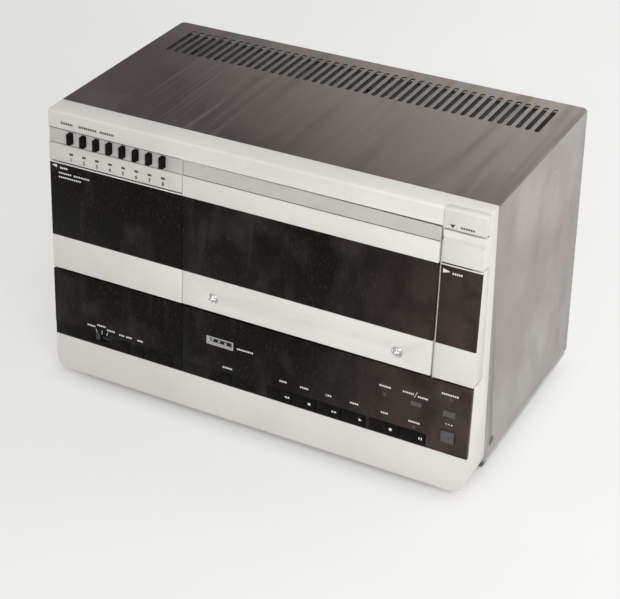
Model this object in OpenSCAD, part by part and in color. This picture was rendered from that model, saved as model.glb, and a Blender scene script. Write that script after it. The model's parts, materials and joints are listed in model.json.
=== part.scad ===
// Upright video cassette recorder with a leaning moulded front, a tilting cassette lid and two compartment doors.
// Millimetres, +Z up, front towards -Y. The origin is on the floor under the middle of the case.

/* [Case] */
// Width across the side panels
case_w = 387; // [375:1:410]
// Height from the floor to the top of the cover
case_h = 253; // [250:1:262]
// Depth of the cover, from the moulded front to the back edge
cover_d = 185.5; // [180:0.5:220]
// How far the top edge of the front stands ahead of the cover
nose_top = 20.4; // [19:0.2:24]
// Lean of the front from upright, in degrees
lean = 4.47; // [3.8:0.01:5]
// Thickness of the cover, side and rear sheets
sheet_t = 1.2; // [0.8:0.1:1.6]
// Dark joint line between the cover and the side panels
cover_seam = 0.8; // [0.4:0.1:1.4]
// Height of the base tray's rim that shows under the side panels
rim_show = 6; // [3:0.5:9]
// How far the rear panel is set in from the back edge
rear_inset = 6; // [4:0.5:9]

/* [Moulded front] */
// Wall of the moulded front
wall_t = 3; // [2.6:0.1:3.4]
// Radius of the lower corners, seen from the front
corner_r = 14; // [8:1:18]
// Radius of the upper front edge
brow_r = 2.5; // [1.5:0.1:3]
// Radius of the lower front edge
chin_r = 1.5; // [1:0.1:3]
// Distance from the top edge to the hatched strip
strip_v = 16; // [15:0.5:17]
// Height of the hatched strip
strip_h = 12.8; // [12:0.2:14]
// Depth of the hatched strip
strip_sink = 1; // [0.6:0.1:1.4]
// Distance from the top edge to the lid's dark window
window_v = 46.5; // [45:0.5:48]
// Height of the dark window
window_h = 66.2; // [62:0.2:70]
// Height of the silver band under the window
band_h = 30.6; // [28:0.2:33]
// Height of the dark control panels, with the joint above them
panel_h = 64.7; // [62:0.1:67]
// Width of the cassette lid
lid_w = 222.8; // [219:0.2:226]
// Width of the right door
right_door_w = 33.4; // [32:0.1:36]
// Joint between the left door and the lid
seam_gap = 0.5; // [0.4:0.1:0.8]
// Finger gap between the lid and the right door
finger_gap = 2.4; // [2.2:0.1:3]
// Joint above the two doors
door_top_gap = 1.1; // [0.7:0.1:1.3]
// Joint between the lid, the doors and the control panels
lid_foot_gap = 1.6; // [1.5:0.1:2]
// Running clearance round buttons and doors
play = 0.3; // [0.25:0.05:0.4]

/* [Doors and lid] */
// Thickness of a door's skin
door_t = 3; // [2.6:0.1:3.2]
// Thickness of the dark plate let into a door
door_plate_t = 1.6; // [1.2:0.1:1.8]
// Thickness of the lid
lid_t = 5; // [4.6:0.1:5.4]
// Thickness of the lid's dark window
window_t = 3; // [2.4:0.1:3.2]
// Distance from the top front edge back to the door hinges
hinge_back = 6; // [5:0.2:7]
// Radius of a door's hinge barrel
barrel_r = 2.4; // [2.2:0.1:2.6]
// Radius of a door's hinge pin
pin_r = 0.8; // [0.6:0.05:0.9]
// Radius of the lid's hinge rod
rod_r = 1; // [0.9:0.05:1.1]
// Depth of the lid's hinge rod behind the face
rod_d = 3.6; // [3.5:0.05:3.8]
// Height of the lid's hinge rod above the lid's lower edge
rod_up = 3.4; // [3.2:0.05:3.6]
// Running fit of a shaft in its bore, on the radius
fit = 0.05; // [0.03:0.01:0.08]
// Distance between the two lid screws
lid_screw_gap = 165; // [150:1:180]
// Radius of a lid screw's head
lid_screw_r = 4.7; // [3.5:0.1:5]

/* [Cassette bay] */
// Length of a cassette
cassette_w = 187; // [186:0.5:188]
// Depth of a cassette from spine to flap
cassette_h = 103; // [102:0.5:104]
// Thickness of a cassette
cassette_t = 25; // [24.5:0.5:25.5]
// Room round the cassette on each side
cassette_play = 0.8; // [0.6:0.1:1.2]
// Sheet of the cassette holder
holder_t = 1.2; // [1:0.1:1.4]
// Distance of the deck plate behind the face
deck_d = 44; // [43:0.5:48]
// Thickness of the deck plate
deck_t = 1.6; // [1.2:0.1:2]
// Distance between the two reel spindles
reel_gap = 92; // [92:0.5:93]
// Radius of the head drum
drum_r = 31; // [30:0.5:31]

/* [Keys and buttons] */
// Width of a channel key
channel_key_w = 4; // [3.6:0.1:4.6]
// Height of a channel key
channel_key_h = 9.6; // [9:0.1:10.4]
// How far a channel key stands proud
channel_key_proud = 4; // [3:0.1:5]
// Travel of a channel key
channel_travel = 2.5; // [1.5:0.1:3]
// Width of a transport key
deck_key_w = 21.9; // [21:0.1:22.2]
// Width of the record key
record_key_w = 25.6; // [24:0.1:26]
// Width of the pause key
pause_key_w = 22.4; // [21:0.1:22.6]
// Height of a transport key
deck_key_h = 11; // [10:0.1:11.2]
// Side of a clock button
clock_button_w = 8.6; // [7.5:0.1:9]
// Distance between clock buttons
clock_pitch = 14.1; // [13:0.1:14.4]
// Travel of the panel keys and buttons
key_travel = 2.4; // [1.5:0.1:2.6]
// Travel of the eject button
eject_travel = 2.5; // [1.5:0.1:2.8]
// How far a panel key stands proud of the panel
key_proud = 0.6; // [0.3:0.1:1]
// Thickness of the dark control panels
panel_t = 3.5; // [3.3:0.1:3.8]
// Step from the upper field of a panel down to its key strip
panel_step = 0.5; // [0.3:0.1:0.8]

/* [Vents and feet] */
// Number of slots in the cover
vent_count = 44; // [30:1:45]
// Distance between slots
vent_pitch = 8; // [7:0.1:8.2]
// Length of a slot
vent_l = 46; // [30:1:50]
// Width of a slot
vent_w = 4.2; // [2.5:0.1:4.4]
// Distance from the slots to the back edge
vent_back = 13.8; // [13:0.2:20]
// Height of the feet
foot_h = 12.5; // [10:0.5:16]
// Radius of a foot
foot_r = 12; // [9:0.5:15]
// Distance of a foot's middle from the side of the case
foot_in = 48; // [40:1:60]

/* [Hidden] */
$fn = 48;
channels = 8;
eps = 0.05;

// Case planes
half_w = case_w / 2;
nose_foot = nose_top + (case_h - foot_h - chin_r) * tan(lean) - chin_r * (1 / cos(lean) - 1);
y_back = (cover_d + nose_foot) / 2;
cover_y = y_back - cover_d;
face_y = cover_y - nose_top;
base_t = sheet_t;
base_top = foot_h + base_t;
side_x = half_w - sheet_t;
cover_z = case_h - sheet_t;
rear_y = y_back - rear_inset;

// Levels down the face and places across it
band_v = window_v + window_h;
lid_v = strip_v;
lid_end_v = band_v + band_h;
panel_v = lid_end_v + lid_foot_gap;
chin_v = lid_end_v + panel_h;
door_v = window_v - 1.1;
key_strip_v = chin_v - 12;
right_x = half_w - right_door_w;
lid_end_x = right_x - finger_gap;
lid_x = lid_end_x - lid_w;
lid_mid_x = (lid_x + lid_end_x) / 2;
seam_x = lid_x - seam_gap;
rib_x = right_x - play - 1.2;
backing_end = panel_t + 3;
cap_room = panel_t + 1.6;
cap_back = cap_room - play - key_travel;

// Door hinges stand upright, a little behind the face, inside the side walls
hinge_x = half_w - barrel_r - 0.1;
hinge_y = face_y + hinge_back;
bay_y = hinge_y + barrel_r + 0.8;
bay_t = 2;
rod_v = lid_end_v - rod_up;
lug_w = 5;
lug_r = rod_r + 1;
lug_in = 9;

// Cassette holder, behind the lid
holder_w = cassette_w + 2 * (cassette_play + holder_t);
holder_d = cassette_t + 2 * cassette_play + 2 * holder_t;
holder_end_v = rod_v - 5.4;
holder_v = holder_end_v - holder_t - cassette_h + 6;
reel_v = holder_end_v - holder_t - 47;
drum_v = holder_end_v + 38;
drum_low_h = 16;
drum_up_h = 14;
capstan_x = lid_mid_x + 2 * drum_r;
capstan_v = holder_end_v + 18;
pinch_x = capstan_x + 20;
pinch_v = capstan_v + 16;

// Keys on the face
channel_in = 21.2;
channel_x = -half_w + channel_in;
channel_pitch = (seam_x + half_w - channel_in - 18.15) / (channels - 1);
channel_v = strip_v + strip_h / 2 - 0.4;
lamp_v = strip_v + 20;
clock_x = seam_x - 56.4;
key_mid_v = chin_v - deck_key_h / 2 - 1;
button_v = chin_v - 6.6;
mode_x = seam_x - 79.7;
mode_v = chin_v - 9;
mode_knob_w = 5;
mode_recess_w = 14.2;
mode_recess_h = 8;
mode_travel = mode_recess_w - mode_knob_w - 2 * play;
deck_key_pitch = deck_key_w + 2 * play;
record_pitch = record_key_w + 2 * play;
pause_pitch = pause_key_w + 2 * play;
record_key_x = right_x - 2.3 - record_pitch - pause_pitch;
deck_key_x = record_key_x - 2.9 - 4 * deck_key_pitch;
counter_x = seam_x + 36.3;
counter_v = panel_v + 25;
counter_w = 25.5;
counter_h = 7.6;
wheel_r = 6;
wheel_d = 10;
reset_x = seam_x + 43.2;
speed_x = right_x - 12;
timer_x = right_x + 16.3;
upper_v = panel_v + 26.4;
output_v = panel_v + 47;
timer_v = upper_v + 0.4;
eject_x = right_x - 0.6;
eject_y = face_y + 6;
eject_h = 16.3;
eject_gap = 0.9;
stem_w = 3;
stem_h = 2.4;
lamp_w = 3.6;
lamp_h = 1.9;
lamp_r = 1.6;
reset_w = 8.6;
reset_h = 7.5;
speed_w = 9.2;
speed_h = 4.2;
timer_w = 10.4;
timer_h = 5.5;
output_w = 11.2;
output_h = 10.2;
knob_shaft_r = 3;
knob_r = 11;
small_knob_r = 8;
knob_h = 7.5;
left_knob_x = seam_x - 34;
right_knob_x = right_x + 14;
knob_z = case_h - window_v - 36;

// Inner parts and fasteners
tray_rim = 26;
lip_t = 2;
foot_lip_l = 4.5;
stub_r = 2;
stub_up = 1.5;
flange_in = 6;
flange_l = 20;
eject_stem_x = eject_x + 12;
eject_stem_w = 8;
eject_stem_v = 4;
eject_stem_h = 6;
turntable_r = 18;
hub_r = 11;
spindle_r = 4.2;
flywheel_r = 26;
post_r = 2.5;
roller_r = 7;
screw_r = 1.5;
screw_head_r = 3;
lid_screw_v = lid_end_v - 12.4;
reel_shaft_r = 2;
capstan_r = 1.5;
deck_foot_y = face_line(base_top, deck_d + deck_t / 2);
socket_r = 4;
socket_pitch = 24;
socket_x = -side_x + 32.3;
aerial_z = 150;
signal_z = 60;
inlet_w = 22;
inlet_h = 14;
inlet_x = side_x - 42.3;
inlet_z = 44;
SOCKETS = [for (i = [0 : 6]) [socket_x + (i < 3 ? i : i - 3) * socket_pitch, i < 3 ? aerial_z : signal_z]];
REAR_SCREWS = [-side_x + 16.3, 0, side_x - 16.3];
tuner_w = 84;
tuner_h = 66;
tuner_d = 30;
board_x = -side_x + 22.3;
board_w = 250;
board_y = rear_y - 130.3;
board_d = 110;
coil_w = 64;
coil_d = 38;
coil_h = 54;
coil_x = side_x - 20.3 - coil_w;
coil_y = rear_y - 76.3;
// Places of the round lamps on the control panel, across and down the face
LAMPS = [[right_x - 39.3, upper_v], [timer_x + 0.6, panel_v + 13.9],
    [deck_key_mid(5) + 1, key_strip_v - 3.4]];
// Guide posts, from the middle of the head drum
GUIDES = [[-40, -14], [40, -14], [-66, -22], [-34, 26], [34, 26]];

// Colours, as the photograph shows them
silver = [0.84, 0.84, 0.83];
black = [0.07, 0.07, 0.07];
smoke = [0.16, 0.15, 0.15];
cover_grey = [0.36, 0.34, 0.33];
zinc = [0.66, 0.67, 0.66];
steel = [0.72, 0.73, 0.74];

// The y of a plane that lies a given depth behind the leaning face
function face_line(z, depth) = face_y + depth / cos(lean) - (case_h - z) * tan(lean);

// Puts children in the frame of the face: x across, y into the case, z up along the face from its top edge
module on_face() {
    translate([0, face_y, case_h]) rotate([-lean, 0, 0]) children();
}

// A block given by its limits across, down and into the face
module slab(x0, x1, v0, v1, d0, d1) {
    translate([x0, d0, -v1]) cube([x1 - x0, d1 - d0, v1 - v0]);
}

// A rod that runs into the face
module rod_in(x, v, r, d0, d1) {
    translate([x, d0, -v]) rotate([-90, 0, 0]) cylinder(r = r, h = d1 - d0);
}

// A rod that runs across the face
module rod_across(x0, x1, v, d, r) {
    translate([x0, d, -v]) rotate([0, 90, 0]) cylinder(r = r, h = x1 - x0);
}

// A rod along Y
module rod_y(x, y0, y1, z, r) {
    translate([x, y0, z]) rotate([-90, 0, 0]) cylinder(r = r, h = y1 - y0);
}

// Section of the moulded front in the Y and Z plane, a given wall inside its skin
module front_section(inset) {
    top = case_h - inset;
    foot = foot_h + inset;
    back = inset > 0 ? 1 : 0;
    r1 = max(brow_r - inset, 0.2);
    r2 = max(chin_r - inset, 0.2);
    c1 = [face_line(top - r1, inset) + r1 / cos(lean), top - r1];
    c2 = [face_line(foot + r2, inset) + r2 / cos(lean), foot + r2];
    tip = [-cos(lean), sin(lean)];
    difference() {
        polygon([[cover_y + back, top], [face_line(top, inset), top],
            [face_line(foot, inset), foot], [cover_y + back, foot]]);
        difference() {
            polygon([c1, c1 + r1 * tip, [face_line(top, inset) - 1, top + 1], [c1[0], top + 1]]);
            translate(c1) circle(r = r1);
        }
        difference() {
            polygon([c2, c2 + r2 * tip, [face_line(foot, inset) - 1, foot - 1], [c2[0], foot - 1]]);
            translate(c2) circle(r = r2);
        }
    }
}

// Outline of the moulded front, seen from the front, with rounded lower corners
module front_outline(inset) {
    r = corner_r - inset;
    translate([-half_w + inset, foot_h + corner_r])
        square([case_w - 2 * inset, case_h - inset - foot_h - corner_r + (inset > 0 ? 0 : 1)]);
    translate([-half_w + corner_r, foot_h + inset])
        square([case_w - 2 * corner_r, corner_r]);
    for (s = [-1, 1]) translate([s * (half_w - corner_r), foot_h + corner_r]) circle(r = r);
}

module front_block(inset) {
    intersection() {
        translate([-half_w + inset, 0, 0]) rotate([90, 0, 90])
            linear_extrude(case_w - 2 * inset) front_section(inset);
        translate([0, cover_y + 2, 0]) rotate([90, 0, 0])
            linear_extrude(nose_foot + 10) front_outline(inset);
    }
}

// Everything of the doors' and the lid's openings that lies in the front wall
module front_openings() {
    on_face() {
        slab(-half_w - 1, seam_x + seam_gap / 2, door_v - door_top_gap, panel_v, -1, wall_t + play);
        slab(seam_x, rib_x, lid_v - 0.6, panel_v, -1, wall_t + play);
        slab(rib_x - eps, right_x, eject_h + play, panel_v, -1, 1.3);
        slab(rib_x + 1.2, right_x, door_v - door_top_gap, panel_v, -1, wall_t + play);
        slab(right_x - eps, half_w + 1, door_v - door_top_gap, panel_v, -1, wall_t + play);
    }
    for (s = [-1, 1]) intersection() {
        on_face() slab(s > 0 ? half_w - 2 * barrel_r - play : -half_w - 1,
            s > 0 ? half_w + 1 : -half_w + 2 * barrel_r + play, door_v - door_top_gap, panel_v, -1, 60);
        translate([-half_w - 2, face_y - 30, 0]) cube([case_w + 4, 30 + bay_y - face_y, case_h]);
    }
}

// Dark plates of the two compartments, and the walls round them
module compartments() {
    intersection() {
        translate([-half_w, bay_y, 0]) cube([case_w, bay_t, case_h]);
        on_face() union() {
            slab(-half_w, seam_x - play, door_v - door_top_gap - 2, panel_v + 2, 0, 60);
            slab(rib_x, half_w, door_v - door_top_gap - 2, panel_v + 2, 0, 60);
        }
    }
    intersection() {
        translate([-half_w, face_y - 40, 0]) cube([case_w, bay_y + bay_t - face_y + 40, case_h]);
        on_face() union() {
            slab(seam_x - play - 1.5, seam_x - play, door_v - door_top_gap - 2, panel_v + 2, wall_t + play, 60);
            slab(rib_x, rib_x + 1.2, eject_h + play + 1, panel_v + 2, 1.3, 60);
            for (v = [door_v - door_top_gap - 2, panel_v]) {
                slab(-half_w + wall_t - 1, seam_x - play, v, v + 2, wall_t - 1, 60);
                slab(rib_x, half_w - wall_t + 1, v, v + 2, wall_t - 1, 60);
            }
        }
    }
}

// Arms that reach forward into the lid and hold its hinge rod
module lid_lugs() {
    on_face() for (x = [lid_x + lug_in, lid_end_x - lug_in - lug_w]) {
        difference() {
            union() {
                rod_across(x, x + lug_w, rod_v, rod_d, lug_r);
                slab(x, x + lug_w, rod_v - 1.6, rod_v + 1.6, rod_d, 12);
            }
            rod_across(x - 1, x + lug_w + 1, rod_v, rod_d, rod_r);
        }
        slab(x, x + lug_w, rod_v - 1.6, panel_v + 6, 9, 12);
        slab(x, x + lug_w, panel_v + 2, panel_v + 6, backing_end - 0.5, 12);
    }
}

// Hole for a stem in the backing behind the dark panels
module stem_hole(x, v, w, h) {
    slab(x - w / 2 - play, x + w / 2 + play, v - h / 2 - play, v + h / 2 + play, 0, backing_end + 1);
}

// Room in the backing for a key's cap, with the hole for its stem
module cap_space(x, v, w, h) {
    slab(x - w / 2 - play, x + w / 2 + play, v - h / 2 - play, v + h / 2 + play, 0, cap_room);
    stem_hole(x, v, stem_w, stem_h);
}

// Opening for a key's cap in a dark panel
module cap_window(x, v, w, h) {
    slab(x - w / 2 - play, x + w / 2 + play, v - h / 2 - play, v + h / 2 + play, -1, panel_t + 1);
}

// The two openings of the transport keys, which stand side by side
module key_groups(d0, d1) {
    v0 = key_mid_v - deck_key_h / 2 - play;
    v1 = key_mid_v + deck_key_h / 2 + play;
    slab(deck_key_x, deck_key_x + 4 * deck_key_pitch, v0, v1, d0, d1);
    slab(record_key_x, record_key_x + record_pitch + pause_pitch, v0, v1, d0, d1);
}

// A sprung key: cap, stem and the collar that keeps it in
module panel_key(x, v, w, h, proud) {
    on_face() {
        slab(x - w / 2, x + w / 2, v - h / 2, v + h / 2, -proud, cap_back);
        slab(x - stem_w / 2, x + stem_w / 2, v - stem_h / 2, v + stem_h / 2, 0, backing_end + play + 1.2);
        slab(x - stem_w / 2 - 0.9, x + stem_w / 2 + 0.9, v - stem_h / 2 - 0.9, v + stem_h / 2 + 0.9,
            backing_end + play, backing_end + play + 1.2);
    }
}

// The bar lamp under a channel key, between two depths
module lamp_bar(i, d0, d1) {
    slab(key_at(i) + 0.3 - lamp_w / 2, key_at(i) + 0.3 + lamp_w / 2, lamp_v - lamp_h / 2, lamp_v + lamp_h / 2,
        d0, d1);
}

// Upright pins of the two doors
module door_pins() {
    for (s = [-1, 1]) translate([s * hinge_x, hinge_y, pin_low() - 2.7])
        cylinder(r = pin_r, h = pin_high() - pin_low() + 5.4);
}

// Room for the eject button and its way down
module eject_pocket() {
    intersection() {
        on_face() slab(eject_x - play, half_w + 1, -2, eject_h + eject_travel + play, -5, 40);
        translate([0, face_y - 20, 0]) cube([half_w + 1, eject_y + eject_gap - face_y + 20, case_h + 1]);
    }
    on_face() {
        slab(eject_x - play, half_w + 1, eject_h, strip_v + 10.5, -1, 2.2);
        slab(eject_stem_x - play, eject_stem_x + eject_stem_w + play, eject_stem_v - play,
            eject_stem_v + eject_stem_h + eject_travel + play, 0, 14);
    }
}

module front_fascia() {
    color(silver) difference() {
        union() {
            difference() {
                front_block(0);
                front_block(wall_t);
            }
            intersection() {
                front_block(0);
                on_face() slab(-half_w, half_w, panel_v, chin_v + 1.5, panel_t - 1, backing_end);
            }
            intersection() {
                front_block(0);
                union() {
                    compartments();
                    on_face() slab(rib_x, half_w, 0, eject_h + play + 12.5, 0, 12);
                }
            }
            translate([-half_w + 12, cover_y - 2, cover_z - lip_t]) cube([case_w - 24, 8, lip_t]);
            translate([-half_w + 20, cover_y - 2, base_top]) cube([case_w - 40, foot_lip_l, lip_t]);
            lid_lugs();
        }
        front_openings();
        on_face() {
            slab(-half_w - 1, half_w + 1, panel_v - eps, chin_v, -1, panel_t);
            slab(-half_w - 1, seam_x + seam_gap / 2, strip_v, strip_v + strip_h, -1, strip_sink);
            for (i = [0 : channels - 1]) slab(key_at(i) - channel_key_w / 2 - play,
                key_at(i) + channel_key_w / 2 + play, channel_v - channel_key_h / 2 - play,
                channel_v + channel_key_h / 2 + play, -1, wall_t + 2);
            for (i = [0 : channels - 1]) lamp_bar(i, -1, wall_t + 2);
            for (i = [0 : 3]) cap_space(clock_x + i * clock_pitch, button_v, clock_button_w, clock_button_w);
            stem_hole(mode_x, mode_v, stem_w + mode_travel, stem_h);
            key_groups(0, cap_room);
            for (i = [0 : 5]) stem_hole(deck_key_mid(i), key_mid_v, stem_w, stem_h);
            cap_space(reset_x, button_v, reset_w, reset_h);
            cap_space(speed_x, upper_v, speed_w, speed_h);
            cap_space(timer_x, timer_v, timer_w, timer_h);
            cap_space(timer_x, output_v, output_w, output_h);
            slab(counter_x - counter_w / 2, counter_x + counter_w / 2, counter_v - wheel_r - 1.2,
                counter_v + wheel_r + 1.2, 0, backing_end + 1);
        }
        eject_pocket();
        door_pins();
        rod_y(left_knob_x, bay_y - 1, bay_y + bay_t + 1, knob_z, knob_shaft_r + fit);
        rod_y(right_knob_x, bay_y - 1, bay_y + bay_t + 1, knob_z, knob_shaft_r + fit);
    }
}

// Top and bottom of the door barrels, where the openings' sloping edges cross the hinge line
function drop(v) = case_h - v * cos(lean) - (hinge_y - face_y + v * sin(lean)) / cos(lean) * sin(lean);
function pin_high() = drop(door_v - door_top_gap) - 1;
function pin_low() = drop(panel_v) + 1.6;
function key_at(i) = channel_x + i * channel_pitch;
function deck_key_mid(i) = i < 4 ? deck_key_x + (i + 0.5) * deck_key_pitch
    : i < 5 ? record_key_x + record_pitch / 2 : record_key_x + record_pitch + pause_pitch / 2;
function deck_key_width(i) = i < 4 ? deck_key_w : i < 5 ? record_key_w : pause_key_w;

// Small lamps set flush in the front: a bar under each channel key and the round ones of the panel
module indicator_lamps() {
    color([0.25, 0.05, 0.04]) on_face() {
        for (i = [0 : channels - 1]) lamp_bar(i, 0.2, wall_t + 1.5);
        for (place = LAMPS) rod_in(place[0], place[1], lamp_r, 0.2, panel_t);
    }
}

// The flat cover sheet, its narrow edges and the slots above the warm parts
module top_cover() {
    color(cover_grey) difference() {
        union() {
            translate([-half_w, cover_y, cover_z]) linear_extrude(sheet_t) cover_outline();
            for (s = [-1, 1]) translate([s < 0 ? -side_x : side_x - sheet_t, cover_y + 8, cover_z - 8])
                cube([sheet_t, cover_d - 16, 8 + eps]);
            translate([-half_w + 8, y_back - sheet_t, cover_z - 5]) cube([case_w - 16, sheet_t, 5 + eps]);
        }
        for (i = [0 : vent_count - 1])
            translate([(i - (vent_count - 1) / 2) * vent_pitch, y_back - vent_back - vent_l, cover_z - 1])
                linear_extrude(sheet_t + 2) slot(vent_w, vent_l);
    }
}

module cover_outline() {
    r = 4;
    square([case_w, cover_d - r]);
    translate([r, 0]) square([case_w - 2 * r, cover_d]);
    for (x = [r, case_w - r]) translate([x, cover_d - r]) circle(r = r);
}

module slot(w, l) {
    translate([-w / 2, w / 2]) square([w, l - w]);
    for (y = [w / 2, l - w / 2]) translate([0, y]) circle(r = w / 2);
}

module side_panels() {
    low = foot_h + rim_show;
    high = cover_z - cover_seam;
    color(cover_grey) difference() {
        for (s = [-1, 1]) translate([s < 0 ? -half_w : side_x, cover_y, low])
            cube([sheet_t, cover_d, high - low]);
        for (s = [-1, 1]) side_screw(s, screw_head_r, sheet_t + 0.2, -0.1);
    }
}

module side_screw(s, r, l, from) {
    translate([s * (half_w - from), cover_y + 14.5, foot_h + 18.8]) rotate([0, -s * 90, 0]) cylinder(r = r, h = l);
}

module rear_panel() {
    color(zinc) difference() {
        union() {
            translate([-side_x + sheet_t, rear_y - sheet_t, base_top])
                cube([2 * (side_x - sheet_t), sheet_t, cover_z - base_top]);
            translate([-side_x, rear_y - sheet_t, base_top + tray_rim])
                cube([2 * side_x, sheet_t, cover_z - 8 - base_top - tray_rim]);
            translate([-side_x + sheet_t, rear_y - 10, cover_z - sheet_t])
                cube([2 * (side_x - sheet_t), 10, sheet_t]);
        }
        for (place = SOCKETS) rod_y(place[0], rear_y - 5, rear_y + 1, place[1], socket_r);
        translate([inlet_x - inlet_w / 2, rear_y - 5, inlet_z - inlet_h / 2]) cube([inlet_w, 10, inlet_h]);
        for (x = REAR_SCREWS) for (z = [base_top + 20, cover_z - 20])
            rod_y(x, rear_y - 5, rear_y + 1, z, screw_r);
    }
}

// Tray under the case, with rims inside the side panels
module base_plate() {
    color(zinc) difference() {
        union() {
            translate([-side_x, cover_y, foot_h]) cube([2 * side_x, cover_d, base_t]);
            for (s = [-1, 1]) translate([s < 0 ? -side_x : side_x - sheet_t, cover_y + 8, foot_h])
                cube([sheet_t, cover_d - 8 - rear_inset, base_t + tray_rim]);
        }
        for (s = [-1, 1]) side_screw(s, screw_r, 10, -1);
        for (place = foot_places()) translate([place[0], place[1], foot_h - 1])
            cylinder(r = stub_r, h = base_t + 2);
    }
}

module feet() {
    color(black) for (place = foot_places()) translate([place[0], place[1], 0]) {
        cylinder(r = foot_r, h = foot_h);
        cylinder(r = stub_r, h = base_top + stub_up);
    }
}

function foot_places() = [for (x = [-half_w + foot_in, half_w - foot_in],
    y = [cover_y + 14, y_back - 24]) [x, y]];

// Screws of the side panels and of the rear panel
module case_screws() {
    color(steel) {
        for (s = [-1, 1]) {
            side_screw(s, screw_head_r, sheet_t, 0);
            side_screw(s, screw_r, 6, sheet_t / 2);
        }
        for (x = REAR_SCREWS) for (z = [base_top + 20, cover_z - 20]) {
            rod_y(x, rear_y, rear_y + 1.6, z, screw_head_r);
            rod_y(x, rear_y - 6, rear_y + 0.5, z, screw_r);
        }
    }
}

// Pins of the doors and short rods of the lid
module hinge_pins() {
    color(steel) {
        door_pins();
        on_face() for (x = lug_places()) rod_across(x - 7, x + lug_w + 7, rod_v, rod_d, rod_r);
    }
}

function lug_places() = [lid_x + lug_in, lid_end_x - lug_in - lug_w];

module dark_panel(x0, x1) {
    slab(x0, x1, panel_v, key_strip_v, 0, panel_t);
    slab(x0, x1, key_strip_v - eps, chin_v, panel_step, panel_t);
}

module clock_window() {
    color(smoke) on_face() difference() {
        dark_panel(-half_w, seam_x);
        for (i = [0 : 3]) cap_window(clock_x + i * clock_pitch, button_v, clock_button_w, clock_button_w);
        cap_window(mode_x, mode_v, mode_recess_w - 2 * play, mode_recess_h - 2 * play);
    }
}

module control_window() {
    color(smoke) on_face() difference() {
        dark_panel(seam_x + seam_gap, half_w);
        key_groups(-1, panel_t + 1);
        cap_window(reset_x, button_v, reset_w, reset_h);
        cap_window(speed_x, upper_v, speed_w, speed_h);
        cap_window(timer_x, timer_v, timer_w, timer_h);
        cap_window(timer_x, output_v, output_w, output_h);
        slab(counter_x - counter_w / 2, counter_x + counter_w / 2, counter_v - counter_h / 2,
            counter_v + counter_h / 2, -1, panel_t + 1);
        for (place = LAMPS) rod_in(place[0], place[1], lamp_r, -1, panel_t + 1);
    }
}

// Bezel of the tape counter with the cheeks that carry its axle
module counter_frame() {
    x0 = counter_x - counter_w / 2;
    x1 = counter_x + counter_w / 2;
    v0 = counter_v - counter_h / 2;
    v1 = counter_v + counter_h / 2;
    color(black) on_face() {
        difference() {
            slab(x0, x1, v0, v1, 0.4, panel_t);
            slab(x0 + 1.2, x1 - 1.2, v0 + 0.9, v1 - 0.9, 0, panel_t + 1);
        }
        for (x = [x0, x1 - 1.2]) difference() {
            slab(x, x + 1.2, v0, v1, panel_t - 0.5, wheel_d + 3);
            rod_across(x - 1, x + 3, counter_v, wheel_d, 1 + fit);
        }
    }
}

// Number wheels on their axle
module counter_wheels() {
    run = counter_w - 2 * (1.2 + play);
    one = (run - 3 * 0.6) / 4;
    color(black) on_face() {
        for (i = [0 : 3]) rod_across(counter_x - run / 2 + i * (one + 0.6),
            counter_x - run / 2 + i * (one + 0.6) + one, counter_v, wheel_d, wheel_r);
        rod_across(counter_x - run / 2, counter_x + run / 2, counter_v, wheel_d, wheel_r - 1.2);
        rod_across(counter_x - counter_w / 2 + 0.2, counter_x + counter_w / 2 - 0.2, counter_v, wheel_d, 1);
    }
}

// Deck plate behind the cassette, standing on the base tray
module deck_chassis() {
    x0 = lid_x - 8;
    x1 = lid_end_x + 8;
    color(zinc) difference() {
        intersection() {
            union() {
                on_face() {
                    slab(x0, x1, 24, case_h + 10, deck_d, deck_d + deck_t);
                    for (x = [x0, x1 - deck_t]) slab(x, x + deck_t, 24, case_h + 10, deck_d, deck_d + 22);
                    rod_in(capstan_x, capstan_v, 7, deck_d + deck_t / 2, deck_d + 4.5);
                }
                translate([x0 + flange_in, deck_foot_y, base_top - 1])
                    cube([x1 - x0 - 2 * flange_in, flange_l, deck_t + 1]);
            }
            translate([-half_w, -half_w, base_top]) cube([case_w, case_w, case_h]);
        }
        on_face() {
            for (s = [-1, 1]) rod_in(lid_mid_x + s * reel_gap / 2, reel_v, reel_shaft_r + fit, deck_d - 1,
                deck_d + 20);
            rod_in(capstan_x, capstan_v, capstan_r + fit, deck_d - 1, deck_d + 20);
            slab(lid_mid_x - 20, lid_mid_x + 20, reel_v - 40, reel_v - 24, deck_d - 1, deck_d + 5);
        }
        for (place = foot_places()) translate([place[0], place[1], base_top - 2])
            cylinder(r = stub_r + 2 * play, h = deck_t + 4);
    }
}

module lower_drum() {
    color(steel) on_face() difference() {
        rod_in(lid_mid_x, drum_v, drum_r, deck_d - drum_low_h, deck_d);
        rod_in(lid_mid_x, drum_v, 3 + fit, deck_d - drum_low_h - 1, deck_d + 1);
    }
}

module upper_drum() {
    low = deck_d - drum_low_h - 0.5;
    color(steel) on_face() difference() {
        union() {
            rod_in(lid_mid_x, drum_v, drum_r, low - drum_up_h, low);
            rod_in(lid_mid_x, drum_v, 3, low - 1, deck_d - 1);
        }
        for (a = [0 : 120 : 240]) translate([lid_mid_x, 0, -drum_v]) rotate([0, a, 0])
            translate([drum_r - 10, low - drum_up_h - 1, 0]) rotate([-90, 0, 0]) cylinder(r = 3, h = 4);
    }
}

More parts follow.
